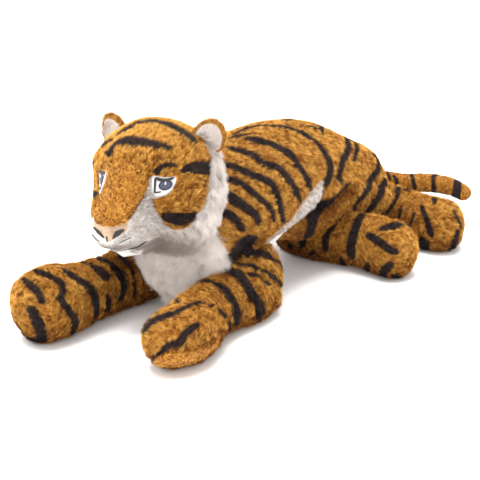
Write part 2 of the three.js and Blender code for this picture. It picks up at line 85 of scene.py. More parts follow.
# ------------------------------------------------------------------ seeded noise
def _hash(ix, iy, iz, salt):
    h = (ix * 73856093) ^ (iy * 19349663) ^ (iz * 83492791) ^ (salt * 2654435761)
    h = (h ^ (h >> 13)) & 0x7FFFFFFF
    h = (h * 1274126177) & 0x7FFFFFFF
    h = (h ^ (h >> 16)) & 0x7FFFFFFF
    h = (h * 668265263) & 0x7FFFFFFF
    return ((h ^ (h >> 11)) & 0xFFFFFF) / float(0xFFFFFF)


def noise(p, scale, salt=0):
    """Smooth noise from -1 to 1; scale is the size of its lumps in the units of p."""
    q = np.asarray(p, float) / scale
    i = np.floor(q).astype(np.int64)
    f = q - i
    f = f * f * f * (f * (f * 6 - 15) + 10)
    out = np.zeros(len(q))
    for dx in (0, 1):
        for dy in (0, 1):
            for dz in (0, 1):
                w = (f[:, 0] if dx else 1 - f[:, 0]) * (f[:, 1] if dy else 1 - f[:, 1]) * (f[:, 2] if dz else 1 - f[:, 2])
                out += w * _hash(i[:, 0] + dx, i[:, 1] + dy, i[:, 2] + dz, salt)
    return out * 2 - 1


def fbm(p, scale, salt=0, octaves=3):
    return sum(noise(p, scale / 2**k, salt + k) * 0.55**k for k in range(octaves))


def cells(p, size, salt=0):
    """The nearest scattered centre of each point: its distance, the next one's, the centre and a number of its own."""
    q = np.asarray(p, float) / size
    i = np.floor(q).astype(np.int64)
    best = np.full(len(q), 9.0)
    second = np.full(len(q), 9.0)
    centre = np.zeros_like(q)
    own = np.zeros(len(q))
    for dx in (-1, 0, 1):
        for dy in (-1, 0, 1):
            for dz in (-1, 0, 1):
                a, b, c = i[:, 0] + dx, i[:, 1] + dy, i[:, 2] + dz
                cx = np.stack([a + _hash(a, b, c, salt), b + _hash(a, b, c, salt + 1), c + _hash(a, b, c, salt + 2)], 1)
                d = np.linalg.norm(cx - q, axis=1)
                near = d < best
                second = np.where(near, best, np.minimum(second, d))
                best = np.where(near, d, best)
                centre[near] = cx[near]
                own[near] = _hash(a, b, c, salt + 3)[near]
    return best * size, second * size, centre * size, own


# ------------------------------------------------------------------ stuffed tubes along a spine (as in the CAD)
ROUND = 2.4


class Spine:
    def __init__(self, rows):
        r = np.array(rows, float)
        n = len(r)
        e = np.vstack([2 * r[0] - r[1], r, 2 * r[-1] - r[-2]])
        u = np.linspace(0, n - 1, 1201)
        i = np.minimum(u.astype(int), n - 2)
        f = (u - i)[:, None]
        p0, p1, p2, p3 = e[i], e[i + 1], e[i + 2], e[i + 3]
        s = 0.5 * ((2 * p1) + (-p0 + p2) * f + (2 * p0 - 5 * p1 + 4 * p2 - p3) * f**2 + (-p0 + 3 * p1 - 3 * p2 + p3) * f**3)
        self.c = s[:, :3]
        self.arc = np.r_[0, np.cumsum(np.linalg.norm(np.diff(self.c, axis=0), axis=1))]
        self.length = self.arc[-1]
        t = np.gradient(self.c, axis=0)
        self.t = t / np.linalg.norm(t, axis=1)[:, None]
        self.size = s[:, 3:5]
        self.r0, self.r1 = r[0, 3], r[-1, 3]

    def at(self, d):
        q = np.clip(d, 0, self.length)
        pick = lambda a: np.stack([np.interp(q, self.arc, a[:, k]) for k in range(a.shape[1])], -1)
        t = pick(self.t)
        t /= np.linalg.norm(t, axis=-1)[..., None]
        c = pick(self.c) + t * (d - q)[..., None]
        lat = np.cross(t, [0, 0, 1.0])
        lat /= np.linalg.norm(lat, axis=-1)[..., None]
        return c, t, lat, np.cross(lat, t), pick(self.size)

    def skin(self, d, th, grow=0.0, floor=0.0):
        c, t, lat, up, s = self.at(d)
        cap = lambda e, r: np.where(e >= r, 1, np.clip(1 - np.clip(1 - e / r, 0, 1) ** ROUND, 0, 1) ** (1 / ROUND))
        k = cap(d + grow, self.r0 + grow) * cap(self.length + grow - d, self.r1 + grow)
        p = c + lat * (np.cos(th) * (s[..., 0] + grow) * k)[..., None] + up * (np.sin(th) * (s[..., 1] + grow) * k)[..., None]
        p[..., 2] = np.maximum(p[..., 2], floor)
        return p

    def where(self, p):
        """Arc length and angle round the section of points near the skin."""
        p = np.atleast_2d(p)
        d = np.empty(len(p))
        for k in range(0, len(p), 4000):
            near = ((p[k:k + 4000, None, :] - self.c[None, ::3]) ** 2).sum(-1).argmin(1)
            d[k:k + 4000] = self.arc[::3][near]
        c, t, lat, up, s = self.at(d)
        d = d + ((p - c) * t).sum(-1)
        c, t, lat, up, s = self.at(d)
        q = p - c
        return d, np.arctan2((q * up).sum(-1) / s[:, 1], (q * lat).sum(-1) / s[:, 0])


def tube_mesh(sp, step, sides, grow=0.0):
    """A whole stuffed tube as rings of points, closed at both ends: points, triangles, arc lengths and angles."""
    r0, r1 = sp.r0 + grow, sp.r1 + grow
    n0, n1 = max(6, int(1.35 * r0 / step)), max(6, int(1.35 * r1 / step))
    t0 = np.linspace(0, math.pi / 2, n0 + 1)[1:]
    t1 = np.linspace(0, math.pi / 2, n1 + 1)[1:][::-1]
    d0 = -grow + r0 * (1 - np.cos(t0) ** (2 / ROUND))
    d1 = sp.length + grow - r1 * (1 - np.cos(t1) ** (2 / ROUND))
    if d0[-1] < d1[0]:
        mid = np.linspace(d0[-1], d1[0], max(2, int((d1[0] - d0[-1]) / step) + 2))[1:-1]
        d = np.r_[d0, mid, d1]
    else:
        d = np.unique(np.r_[d0[d0 < sp.length / 2], d1[d1 > sp.length / 2]])
    th = np.linspace(0, 2 * math.pi, sides, endpoint=False)
    D, TH = np.meshgrid(d, th, indexing="ij")
    P = sp.skin(D.ravel(), TH.ravel(), grow)
    nr, nt = D.shape
    a = (np.arange(nr - 1)[:, None] * nt + np.arange(nt)[None]).ravel()
    b = (np.arange(nr - 1)[:, None] * nt + (np.arange(nt)[None] + 1) % nt).ravel()
    quads = np.stack([a, a + nt, b + nt, b], 1)
    tris = np.concatenate([quads[:, [0, 1, 2]], quads[:, [0, 2, 3]]])
    s, e = len(P), len(P) + 1
    k = np.arange(nt)
    ends = [np.maximum(sp.at(np.array([x]))[0], [[-1e9, -1e9, 0]]) for x in (-grow, sp.length + grow)]
    P = np.vstack([P, *ends])
    tris = np.concatenate([tris, np.stack([np.full(nt, s), k, (k + 1) % nt], 1), np.stack([np.full(nt, e), (nr - 1) * nt + (k + 1) % nt, (nr - 1) * nt + k], 1)])
    d = np.r_[D.ravel(), -grow, sp.length + grow]
    th = np.r_[TH.ravel(), 0, 0]
    # turn every face outward
    v = P[tris]
    if (np.cross(v[:, 0], v[:, 1]) * v[:, 2]).sum() < 0:
        tris = tris[:, ::-1].copy()
    return P, tris, d, th


def normals(P, tris):
    v = P[tris]
    fn = np.cross(v[:, 1] - v[:, 0], v[:, 2] - v[:, 0])
    n = np.zeros_like(P)
    for k in range(3):
        for ax in range(3):
            n[:, ax] += np.bincount(tris[:, k], fn[:, ax], len(P))
    return n / np.maximum(np.linalg.norm(n, axis=1), 1e-12)[:, None]


def smoothed(P, tris, values, rounds=1):
    """Averages of values with the neighbours along the edges."""
    e = np.concatenate([tris[:, [0, 1]], tris[:, [1, 2]], tris[:, [2, 0]]])
    e = np.concatenate([e, e[:, ::-1]])
    cnt = np.bincount(e[:, 0], minlength=len(P)).astype(float)
    out = values.astype(float)
    for _ in range(rounds):
        if out.ndim == 1:
            out = 0.5 * out + 0.5 * np.bincount(e[:, 0], out[e[:, 1]], len(P)) / cnt
        else:
            out = 0.5 * out + 0.5 * np.stack([np.bincount(e[:, 0], out[e[:, 1], k], len(P)) for k in range(out.shape[1])], 1) / cnt[:, None]
    return out


# ------------------------------------------------------------------ spines, the same as the CAD's
TORSO = Spine([
    [-28, -150, 63, 62, 76], [-25, -108, 72, 79, 88], [-21, -56, 100, 87, 104], [-16, 19, 134, 91, 97],
    [-14, 94, 135, 91, 90], [-11, 169, 124, 89, 88], [-6, 235, 98, 88, 88], [4, 291, 78, 82, 82], [18, 355, 63, 63, 68]])
LIMBS = {
    "front_leg_left": Spine([
        [30, 5, 68, 43, 47], [34, -12, 60, 41, 44], [55.6, -50, 46, 40, 42], [60.9, -93.2, 39, 39, 40], [60, -130, 35, 34, 36],
        [68, -176.7, 35, 34, 36], [84.3, -226.6, 38, 41, 39], [82.2, -261.8, 37, 40, 38], [62.2, -284.4, 36, 35, 37]]),
    "front_leg_right": Spine([
        [-68, -44, 58, 38, 40], [-86, -98, 46, 38, 40], [-98, -134, 39, 37, 40], [-105, -177, 37, 37, 40],
        [-106, -232, 40, 38, 42], [-106, -285, 46, 42, 49], [-110, -312, 47, 42, 50], [-114, -333, 47, 41, 49]]),
    "hind_leg_right": Spine([
        [-42, 176, 33, 32, 33], [-10, 183, 39, 42, 42], [29, 181, 40, 42, 42], [68.6, 188, 39, 40, 40],
        [113.4, 192, 38, 42, 41], [161, 183, 39, 43, 43], [191, 180, 39, 42, 43]]),
    "hind_leg_left": Spine([
        [-2, 249, 88, 54, 56], [32, 282, 72, 46, 50], [54, 328, 50, 40, 43], [93, 345, 39, 38, 40],
        [146, 334, 38, 41, 42], [178, 336, 38, 41, 42], [202.6, 341, 38, 41, 42]]),
    "tail": Spine([
        [2, 347, 87, 18, 18], [19, 367, 83, 18, 18], [39, 391, 77, 18, 18], [62, 412, 73, 17.5, 17.5],
        [84, 436, 72, 17, 17], [110, 462, 66, 16.5, 16.5], [134, 476, 56, 15.5, 15.5], [152, 473, 47, 14.5, 14.5]]),
}
INSET = 1.2  # from the toy's outline, which the pile's tips reach, to the cloth under the pile
UNDERSIDE = np.array([
    [-150, 44, -224], [-120, 40, -220], [-108, 14, -196], [-98, -4, -178], [-80, -16, -168], [-20, -14.5, -166],
    [10, -13.7, -166], [28, -9.6, -166], [43, -4.6, -166], [58, 0.5, -165], [75, 7, -164], [90, 11.3, -163], [104, 15, -162],
    [116, -16, -154], [125, -22, -150], [160, -38, -145], [230, -50, -140], [320, -62, -128]], float)

# ------------------------------------------------------------------ the head's form, the same as the CAD's
HEAD = np.array([-45.6, -129.3, 181.4])


def turn_about(axis, deg):
    a = math.radians(deg)
    c, s = math.cos(a), math.sin(a)
    return np.array({
        "x": [[1, 0, 0], [0, c, -s], [0, s, c]],
        "y": [[c, 0, s], [0, 1, 0], [-s, 0, c]],
        "z": [[c, -s, 0], [s, c, 0], [0, 0, 1]]}[axis])


HEAD_R = turn_about("z", 8) @ turn_about("y", -5)


def reshape(q):
    """The stuffing's own push and pull on the head's form."""
    q = np.array(q, float)
    x, y, z = q[..., 0], q[..., 1], q[..., 2]
    far = smooth(-x, 38, 78) * smooth(-y, -30, 10)
    low = far * smooth(-z, -34, 2) * (1 - smooth(-z, 46, 80))
    high = far * smooth(z, 22, 44) * (1 - smooth(z, 66, 84))
    chin = smooth(-z, 34, 84) * smooth(-y, 34, 74)
    out = q.copy()
    out[..., 0] += 5.5 * low - 4.5 * high
    tip = smooth(-y, 84, 112) * smooth(-x, -6, 20)
    out[..., 0] -= 4.5 * tip
    out[..., 2] += 13.0 * chin
    out[..., 1] += 4.0 * chin
    return out


def from_head(q):
    return reshape(q) @ HEAD_R.T + HEAD


def turned_head(q):
    return np.asarray(q) @ HEAD_R.T + HEAD


def to_head(p):
    q1 = (np.asarray(p) - HEAD) @ HEAD_R
    q = q1.copy()
    for _ in range(4):
        q = q1 - (reshape(q) - q)
    return q


def ellipsoid(q, c, r):
    s = (q - np.array(c, float)) / np.array(r, float)
    k0 = np.linalg.norm(s, axis=-1)
    return k0 * (k0 - 1) / (np.linalg.norm(s / np.array(r, float), axis=-1) + 1e-9)


def capsule(q, a, b, ra, rb, flat):
    a, b = np.array(a, float), np.array(b, float)
    ab = b - a
    t = np.clip(((q - a) @ ab) / (ab @ ab), 0, 1)
    w = (q - a - t[..., None] * ab) / np.array([flat, 1, 1])
    return np.linalg.norm(w, axis=-1) - (ra + (rb - ra) * t)


def join(a, b, k):
    h = np.clip(0.5 + 0.5 * (b - a) / k, 0, 1)
    return b * (1 - h) + a * h - k * h * (1 - h)


def head_form(q):
    d = ellipsoid(q, (0, 4, 3), (92, 84, 88))
    for s in (1, -1):
        d = join(d, ellipsoid(q, (s * 46, -18, -28), (46, 56, 48)), 16)
    d = join(d, capsule(q, (0, -52, 40), (0, -98, -14), 31, 25, 1.15), 22)
    d = join(d, ellipsoid(q, (0, -82, -38), (43, 40, 36)), 14)
    d = join(d, ellipsoid(q, (0, -74, -58), (30, 32, 22)), 12)
    return d


def head_normal(q):
    g = np.stack([head_form(q + e) - head_form(q - e) for e in np.eye(3) * 0.6], -1)
    return g / np.linalg.norm(g, axis=-1)[..., None]


HEART = np.array([0.0, -12.0, -4.0])


def head_radius(dirs):
    hi = np.full(len(dirs), 190.0)
    out = np.ones(len(dirs), bool)
    for _ in range(47):
        f = head_form(HEART + dirs * hi[:, None])
        out &= f > 0
        if not out.any():
            break
        hi[out] -= 4
    lo, up = hi.copy(), hi + 4
    for _ in range(16):
        m = (lo + up) / 2
        f = head_form(HEART + dirs * m[:, None]) > 0
        up = np.where(f, m, up)
        lo = np.where(f, lo, m)
    return lo


def head_mesh(n):
    """A cube's six faces blown out to the head's skin."""
    g = np.tan(np.linspace(-math.pi / 4, math.pi / 4, n))
    A, B = np.meshgrid(g, g, indexing="ij")
    one = np.ones_like(A)
    faces = [(one, A, B), (-one, B, A), (B, one, A), (A, -one, B), (A, B, one), (B, A, -one)]
    V = np.concatenate([np.stack(f, -1).reshape(-1, 3) for f in faces])
    V /= np.linalg.norm(V, axis=1)[:, None]
    i = (np.arange(n - 1)[:, None] * n + np.arange(n - 1)[None]).ravel()
    quad = np.stack([i, i + n, i + n + 1, i + 1], 1)
    tri1 = np.concatenate([quad[:, [0, 1, 2]], quad[:, [0, 2, 3]]])
    tris = np.concatenate([tri1 + k * n * n for k in range(6)])
    key = np.round(V * 1e6).astype(np.int64)
    _, first, back = np.unique(key, axis=0, return_index=True, return_inverse=True)
    back = back.ravel()
    V, tris = V[first], back[tris]
    tris = tris[(tris[:, 0] != tris[:, 1]) & (tris[:, 1] != tris[:, 2]) & (tris[:, 0] != tris[:, 2])]
    c = V[tris]
    outward = (np.cross(c[:, 1] - c[:, 0], c[:, 2] - c[:, 0]) * c.mean(1)).sum(1) > 0
    tris[~outward] = tris[~outward][:, ::-1]
    return HEART + V * head_radius(V)[:, None], tris


def poly_distance(p, outline, closed=True):
    """Distance to a line of points in a plane, negative inside when it is closed."""
    o = np.array(outline, float)
    a = o
    b = np.roll(o, -1, axis=0) if closed else o[1:]
    if not closed:
        a = o[:-1]
    best = np.full(len(p), 1e9)
    inside = np.zeros(len(p), bool)
    for s, e in zip(a, b):
        ab = e - s
        t = np.clip(((p - s) @ ab) / max(ab @ ab, 1e-9), 0, 1)
        best = np.minimum(best, np.linalg.norm(p - s - t[:, None] * ab, axis=1))
        if closed:
            cross = (s[1] > p[:, 1]) != (e[1] > p[:, 1])
            x = s[0] + (p[:, 1] - s[1]) * (e[0] - s[0]) / (e[1] - s[1] if e[1] != s[1] else 1e-9)
            inside ^= cross & (p[:, 0] < x)
    return np.where(inside, -best, best) if closed else best


def mirrored(half):
    return [list(p) for p in half] + [[-x, z] for x, z in reversed(half) if x > 0.5]


# ------------------------------------------------------------------ stripes, traced on the toy as seen from the camera
# each: points (u, v) in the 480 x 480 view, then the widths at the start, the middle and the end
STRIPES = {
    "torso": [
        ([(233, 135), (251, 128.4), (268, 127.4), (289, 130), (306, 136.5), (319, 148), (326, 161), (328, 171), (324.5, 184)], 2.4, 3.8, 5.4),
        ([(225, 140), (240, 136.5), (254, 134.8)], 2, 2, 1.2),
        ([(243, 139.5), (260, 141.5), (276.5, 147), (291, 155), (298, 166), (306, 180), (310, 189)], 3.4, 6, 3.6),
        ([(226, 149), (242, 152), (254, 156), (262.5, 163), (276.5, 168), (287, 179), (294, 189), (299.5, 200)], 3, 5.6, 4.4),
        ([(214, 165), (218, 166), (234, 168), (251, 175), (269, 184), (276.5, 199.5), (282, 221)], 4, 5.4, 3.4),
        ([(214, 175), (223, 178), (242, 185), (256, 197), (268, 208), (273, 220.5)], 4.4, 4.4, 3),
        ([(216, 187), (226, 195), (242, 206), (254, 215), (257, 224)], 6.5, 8, 3.6),
        ([(214, 209), (222, 212), (234, 219), (242, 230)], 6.5, 7, 4),
        ([(256, 241), (247, 241), (240, 247), (233, 256), (229, 264)], 8, 10, 6),
        ([(251, 246), (244, 250), (237, 257)], 5, 6, 4),
        ([(280, 119), (284, 119.5), (290, 121)], 2.5, 3, 2),
        ([(306, 128.5), (313, 130), (320, 131)], 1.2, 1.8, 1.2),
        ([(317, 124), (320, 130), (321, 136)], 3, 3, 2),
        ([(340, 133), (347, 147), (340, 162.5), (335, 182)], 3.6, 4.6, 4.6),
        ([(349, 139), (355, 148.5), (352, 162.5)], 3.4, 3.2, 1.4),
        ([(372, 155), (377, 168), (366, 184), (353, 202)], 3.5, 5, 4.6),
        ([(384, 171), (387.5, 179), (379, 189), (364.5, 213.5), (362, 219)], 4, 4.5, 4),
        ([(398, 188), (393, 203), (375, 217)], 3.6, 4, 2.4),
        ([(343.5, 185.5), (338, 191), (330, 198.5), (322, 205), (313, 214), (307, 225), (304, 238)], 4, 6.4, 5.6),
        ([(353, 205), (352, 211), (347, 215.5)], 2.5, 4, 3),
    ],
    "hind_leg_right": [
        ([(319, 206), (316, 211), (305.5, 227), (302, 245)], 4, 5.6, 5.6),
        ([(340, 212), (335, 223), (327, 236), (325.5, 250)], 2.4, 4.6, 4),
        ([(362, 215), (359, 222), (353, 240), (352, 256)], 4.5, 6, 7),
        ([(368, 235), (379.5, 242), (390, 250), (397, 252)], 5, 5.5, 4),
        ([(382, 229.5), (392, 226.5), (402, 224)], 4, 5.5, 3),
        ([(391, 263), (385, 269), (382, 277)], 5, 6, 5),
        ([(404, 279), (398, 280)], 3, 3, 2),
        ([(290, 247), (293, 243)], 3, 4, 2),
        ([(270.5, 241.5), (276, 237.5), (282, 232.5)], 5, 5, 2),
        ([(310, 254), (314, 250)], 3, 3, 2),
        ([(344, 264), (342, 256)], 3, 3, 2),
        ([(366, 270), (369, 262)], 3, 4, 2),
    ],
    "hind_leg_left": [
        ([(402, 208), (399, 219)], 1.5, 2, 1),
        ([(415, 214), (410, 227)], 1.5, 2, 1),
        ([(421.6, 206.5), (427, 220), (432, 235)], 2.4, 3, 3.6),
        ([(433, 199.5), (435, 205)], 3.5, 3.5, 2.5),
        ([(452, 210), (457, 219), (461, 228)], 1.6, 2, 1.6),
        ([(425, 238), (425, 249)], 6, 6.5, 6),
        ([(457, 231), (455, 241), (450, 249)], 4, 4, 3),
    ],
    "tail": [
        ([(394, 176), (397, 184), (396, 191)], 2, 2.2, 1.6),
        ([(411, 173), (413, 181), (415, 189)], 2, 2.4, 2.4),
        ([(434, 173), (433, 182), (434, 191)], 2.6, 2.4, 3),
        ([(457, 179), (457, 190), (454, 201)], 5, 6, 6.5),
        ([(403, 192), (409, 192)], 2, 2.4, 2),
        ([(434, 191), (438, 192.5)], 2.5, 3, 2),
    ],
    "front_leg_right": [
        ([(24, 279), (34, 288), (39.5, 295), (43, 302)], 3.4, 5, 4.4),
        ([(32.5, 270.5), (47, 275), (60, 282.5), (62.5, 291), (59, 299), (66, 308), (73, 319.5), (71, 331)], 2.6, 3.6, 4),
        ([(31, 308), (37, 319.5), (41, 331), (42, 342)], 7, 8, 7),
        ([(62.5, 272), (75, 279), (89, 289), (94, 300), (94, 317)], 3, 5.5, 4),
        ([(80, 264), (92, 267), (102, 274), (105, 279)], 2.6, 4.6, 5),
        ([(106, 294), (107, 302), (106, 310)], 2, 3.4, 3),
        ([(98, 259.5), (111, 265), (120, 277), (122, 289), (119, 299)], 2, 5, 4),
        ([(119, 257), (129, 267), (134, 281), (133, 296.5)], 1.6, 2.4, 2),
    ],
    "front_leg_left": [
        ([(232, 261), (241, 257), (254, 255), (265, 257), (275, 262), (280, 268)], 4.5, 4, 3.4),
        ([(243, 252), (256, 251.5), (266, 254), (272, 258)], 2.4, 2.6, 1.8),
        ([(236, 266), (252, 267.5), (268, 274.5), (280, 287)], 2.4, 3, 3),
        ([(244, 273), (257, 277), (268, 285)], 1.2, 1.8, 1.2),
        ([(211, 273), (223, 271.6), (237, 275.5), (246, 287), (255, 299), (260, 309), (258, 318)], 3.6, 5.6, 6),
        ([(188, 291), (203, 285), (217, 287.5), (227, 296), (233, 308), (235, 322)], 4.2, 5.8, 6.5),
        ([(171, 317), (187, 309), (200, 305), (212, 307)], 3.6, 2.4, 1.2),
        ([(197, 325), (185, 333.5), (180, 342), (169.5, 345), (162, 351), (151, 360)], 3.4, 5, 1.6),
        ([(218, 311.5), (225, 320), (228, 330)], 2.4, 2.8, 2.2),
        ([(148, 329), (154, 322), (165, 317), (171, 315)], 7, 7, 4),
        ([(178, 302), (180, 306)], 2, 2.6, 2),
    ],
    "head": [
        ([(118.6, 135), (125.6, 130.4), (132.6, 126.2), (141.4, 123.2), (151.8, 122.4), (163, 123.8), (172.2, 127.4), (181.4, 132.4), (188.3, 137.4), (194, 142.4)], 4, 4.2, 6),
        ([(106, 153), (110.8, 153.8), (112.8, 148.4), (118.3, 144.2), (124.6, 141.8), (133.2, 142.8), (142.4, 143), (151.6, 144.6), (160.8, 146), (171.1, 148.4)], 4, 8.4, 3),
        ([(102.4, 145.6), (107.4, 143.2), (112.4, 141.3)], 3, 3.6, 3),
        ([(156.6, 173.5), (158.8, 169), (164.2, 165.6), (171.1, 164.5), (176.8, 167)], 4.2, 2.4, 1.6),
        ([(181.2, 171.2), (188.3, 168.3), (197.5, 168.3), (210, 168.6)], 2.6, 9.4, 10.5),
        ([(163.4, 216), (172.2, 218.2), (182.6, 219), (190.6, 217.2), (198, 213.8)], 7, 9.8, 4),
    ],
}


def dense(points, widths, step=1.6):
    p = np.array(points, float)
    e = np.vstack([2 * p[0] - p[1], p, 2 * p[-1] - p[-2]])
    out = []
    for i in range(len(p) - 1):
        n = max(2, int(np.linalg.norm(p[i + 1] - p[i]) / step))
        for f in np.arange(n) / n:
            p0, p1, p2, p3 = e[i], e[i + 1], e[i + 2], e[i + 3]
            out.append(0.5 * ((2 * p1) + (-p0 + p2) * f + (2 * p0 - 5 * p1 + 4 * p2 - p3) * f**2 + (-p0 + 3 * p1 - 3 * p2 + p3) * f**3))
    out.append(p[-1])
    out = np.array(out)
    s = np.r_[0, np.cumsum(np.linalg.norm(np.diff(out, axis=0), axis=1))]
    s /= max(s[-1], 1e-9)
    w = np.interp(s, [0, 0.5, 1], widths)
    # blunt but narrowing ends
    tip = np.minimum(s, 1 - s)
    w = w * np.clip(0.45 + tip / 0.12, 0, 1)
    return out, w


def cast(tree, u, v):
    d = sight(u, v)
    hit, n, i, dist = tree.ray_cast(Vector(EYE), Vector(d), 3000)
    return (np.array(hit), dist, np.array(n)) if hit is not None else (None, 0, None)


def first_hit(trees, u, v):
    """What the sight line meets first; a line that just misses an edge takes the nearest one that hits."""
    for r in (0, 1.5, 3, 4.5, 6):
        for a in (0,) if r == 0 else np.linspace(0, 2 * math.pi, 12, endpoint=False):
            best = (None, 0, None, None)
            for k, tree in trees.items():
                hit, dist, n = cast(tree, u + r * math.cos(a), v + r * math.sin(a))
                if hit is not None and (best[0] is None or dist < best[1]):
                    best = (hit, dist, k, n)
            if best[0] is not None:
                return best
    return best


def on_skin(trees, points, widths, head=False):
    """A traced line on the skins that the camera sees: runs of points and half widths in mm for each part."""
    uv, w = dense(points, widths)
    out = {}
    run = None
    along = np.gradient(uv, axis=0)
    for (u, v), ww, (du, dv) in zip(uv, w, along):
        hit, dist, k, n = first_hit(trees, u, v)
        if hit is None:
            run = None
            continue
        if run is None or run[0] != k or np.linalg.norm(hit - run[1][-1]) > 25:
            run = (k, [], [])
            out.setdefault(k, []).append(run)
        run[1].append(hit)
        tilt = np.array([n @ RIGHT, -(n @ UP)])
        across = abs(tilt @ [-dv, du]) / max(np.linalg.norm(tilt) * math.hypot(du, dv), 1e-9)
        ww *= 1 + (1 / max(abs(n @ BACK), 0.62) - 1) * across**2
        run[2].append(ww * dist / FOCAL / 2 * (1.08 if head else 1.2) + 1.3)
    return {k: [(np.array(a), np.array(b)) for _, a, b in runs if len(a) > 1] for k, runs in out.items()}


def stripe_field(P, runs, reach=24.0):
    """For each point, the least distance to a stripe's edge in mm, negative inside the stripe."""
    best = np.full(len(P), min(reach, 20.0))
    for q, hw in runs:
        m = reach + hw.max()
        lo, hi = q.min(0) - m, q.max(0) + m
        pick = np.flatnonzero(((P > lo) & (P < hi)).all(1))
        if not len(pick):
            continue
        x = P[pick]
        b = best[pick]
        for i in range(len(q) - 1):
            ab = q[i + 1] - q[i]
            t = np.clip(((x - q[i]) @ ab) / max(ab @ ab, 1e-9), 0, 1)
            b = np.minimum(b, np.linalg.norm(x - q[i] - t[:, None] * ab, axis=1) - (hw[i] + (hw[i + 1] - hw[i]) * t))
        best[pick] = b
    return best


def other_side(sp, tree, runs, squeeze=1.0):
    """The stripes carried on round the side that the camera doesn't see."""
    out = []
    for q, hw in runs:
        d, _ = sp.where(q)
        c, t, lat, up, s = sp.at(d)
        n = BACK - t * (t @ BACK)[:, None]
        n /= np.linalg.norm(n, axis=1)[:, None]
        m = q - 2 * ((q - c) * n).sum(1)[:, None] * n * squeeze
        on = []
        for p in m:
            hit = tree.find_nearest(Vector(p))[0]
            on.append(np.array(hit) if hit is not None else p)
        out.append((np.array(on), hw))
    return out


def tree_of(P, tris):
    return BVHTree.FromPolygons([tuple(p) for p in P], [tuple(int(i) for i in t) for t in tris])


# ------------------------------------------------------------------ materials
def new_material(name):
    m = bpy.data.materials.new(name)
    m.use_nodes = True
    nt = m.node_tree
    nt.nodes.clear()
    return m, nt


def node(nt, kind, **settings):
    n = nt.nodes.new(kind)
    for k, v in settings.items():
        if k.startswith("in_"):
            key = k[3:]
            n.inputs[int(key) if key.isdigit() else key.replace("_", " ")].default_value = v
        else:
            setattr(n, k, v)
    return n


def ramp(nt, fac, stops):
    r = node(nt, "ShaderNodeValToRGB")
    e = r.color_ramp.elements
    while len(e) < len(stops):
        e.new(0.5)
    for el, (pos, col) in zip(e, stops):
        el.position = pos
        el.color = (*col, 1)
    nt.links.new(fac, r.inputs[0])
    return r.outputs[0]


def mix_colour(nt, fac, a, b, kind="MIX"):
    m = node(nt, "ShaderNodeMix", data_type="RGBA", blend_type=kind)
    for sock, val in ((m.inputs[0], fac), (m.inputs[6], a), (m.inputs[7], b)):
        if isinstance(val, bpy.types.NodeSocket):
            nt.links.new(val, sock)
        elif isinstance(val, (int, float)):
            sock.default_value = val
        else:
            sock.default_value = (*val, 1)
    return m.outputs[2]


def maths(nt, op, a, b=0.0, c=None):
    m = node(nt, "ShaderNodeMath", operation=op)
    for sock, val in zip(m.inputs, (a, b, c)):
        if val is None:
            continue
        if isinstance(val, bpy.types.NodeSocket):
            nt.links.new(val, sock)
        else:
            sock.default_value = val
    return m.outputs[0]


def map_range(nt, v, a, b, c, d, smooth=True):
    m = node(nt, "ShaderNodeMapRange", interpolation_type="SMOOTHSTEP" if smooth else "LINEAR")
    nt.links.new(v, m.inputs[0])
    for i, x in zip((1, 2, 3, 4), (a, b, c, d)):
        m.inputs[i].default_value = x
    return m.outputs[0]


ORANGE = (0.52, 0.222, 0.029)
ORANGE_LIGHT = (0.83, 0.49, 0.108)
ORANGE_DEEP = (0.175, 0.05, 0.007)
STRIPE = (0.011, 0.0075, 0.0085)
STRIPE_LIGHT = (0.075, 0.046, 0.04)
WHITE_A = (0.97, 0.915, 0.875)
WHITE_B = (0.43, 0.375, 0.335)
PEACH = (0.60, 0.42, 0.29)


def coat(nt, hair):
    """The colour of the coat from where the stripes and the white panels are."""
    attr = lambda name: node(nt, "ShaderNodeAttribute", attribute_type="GEOMETRY", attribute_name=name).outputs["Fac"]
    stripe, white, nose = attr("stripe"), attr("white"), attr("nose")
    if hair:
        own = attr("own")
        tone = own
        jitter = maths(nt, "MULTIPLY_ADD", attr("lone"), 1.1, -0.55)
        stripe = maths(nt, "ADD", stripe, jitter)
        white = maths(nt, "ADD", white, jitter)
    else:
        pos = node(nt, "ShaderNodeNewGeometry").outputs["Position"]
        tex = node(nt, "ShaderNodeTexCoord").outputs["Object"]
        n1 = node(nt, "ShaderNodeTexNoise", in_Scale=170.0, in_Detail=5.0, in_Roughness=0.7)
        nt.links.new(tex, n1.inputs["Vector"])
        tone = n1.outputs[0]
        n2 = node(nt, "ShaderNodeTexNoise", in_Scale=420.0, in_Detail=3.0)
        nt.links.new(tex, n2.inputs["Vector"])
        jitter = maths(nt, "MULTIPLY_ADD", n2.outputs[0], 2.0, -1.0)
        stripe = maths(nt, "ADD", stripe, jitter)
        white = maths(nt, "ADD", white, jitter)
    orange = ramp(nt, tone, [(0.18, ORANGE_DEEP), (0.5, ORANGE), (0.86, ORANGE_LIGHT)])
    pale = ramp(nt, tone, [(0.0, WHITE_B), (0.5, WHITE_A)] if hair else [(0.2, (0.68, 0.63, 0.59)), (0.8, (0.80, 0.755, 0.72))])
    black = ramp(nt, tone, [(0.25, STRIPE), (0.9, STRIPE_LIGHT)])
    col = mix_colour(nt, map_range(nt, stripe, -0.9, 0.9, 1.0, 0.0), orange, black)
    col = mix_colour(nt, map_range(nt, white, -0.8, 0.8, 1.0, 0.0), col, pale)
    col = mix_colour(nt, map_range(nt, nose, -0.8, 0.8, 1.0, 0.0), col, PEACH)
    return col, white


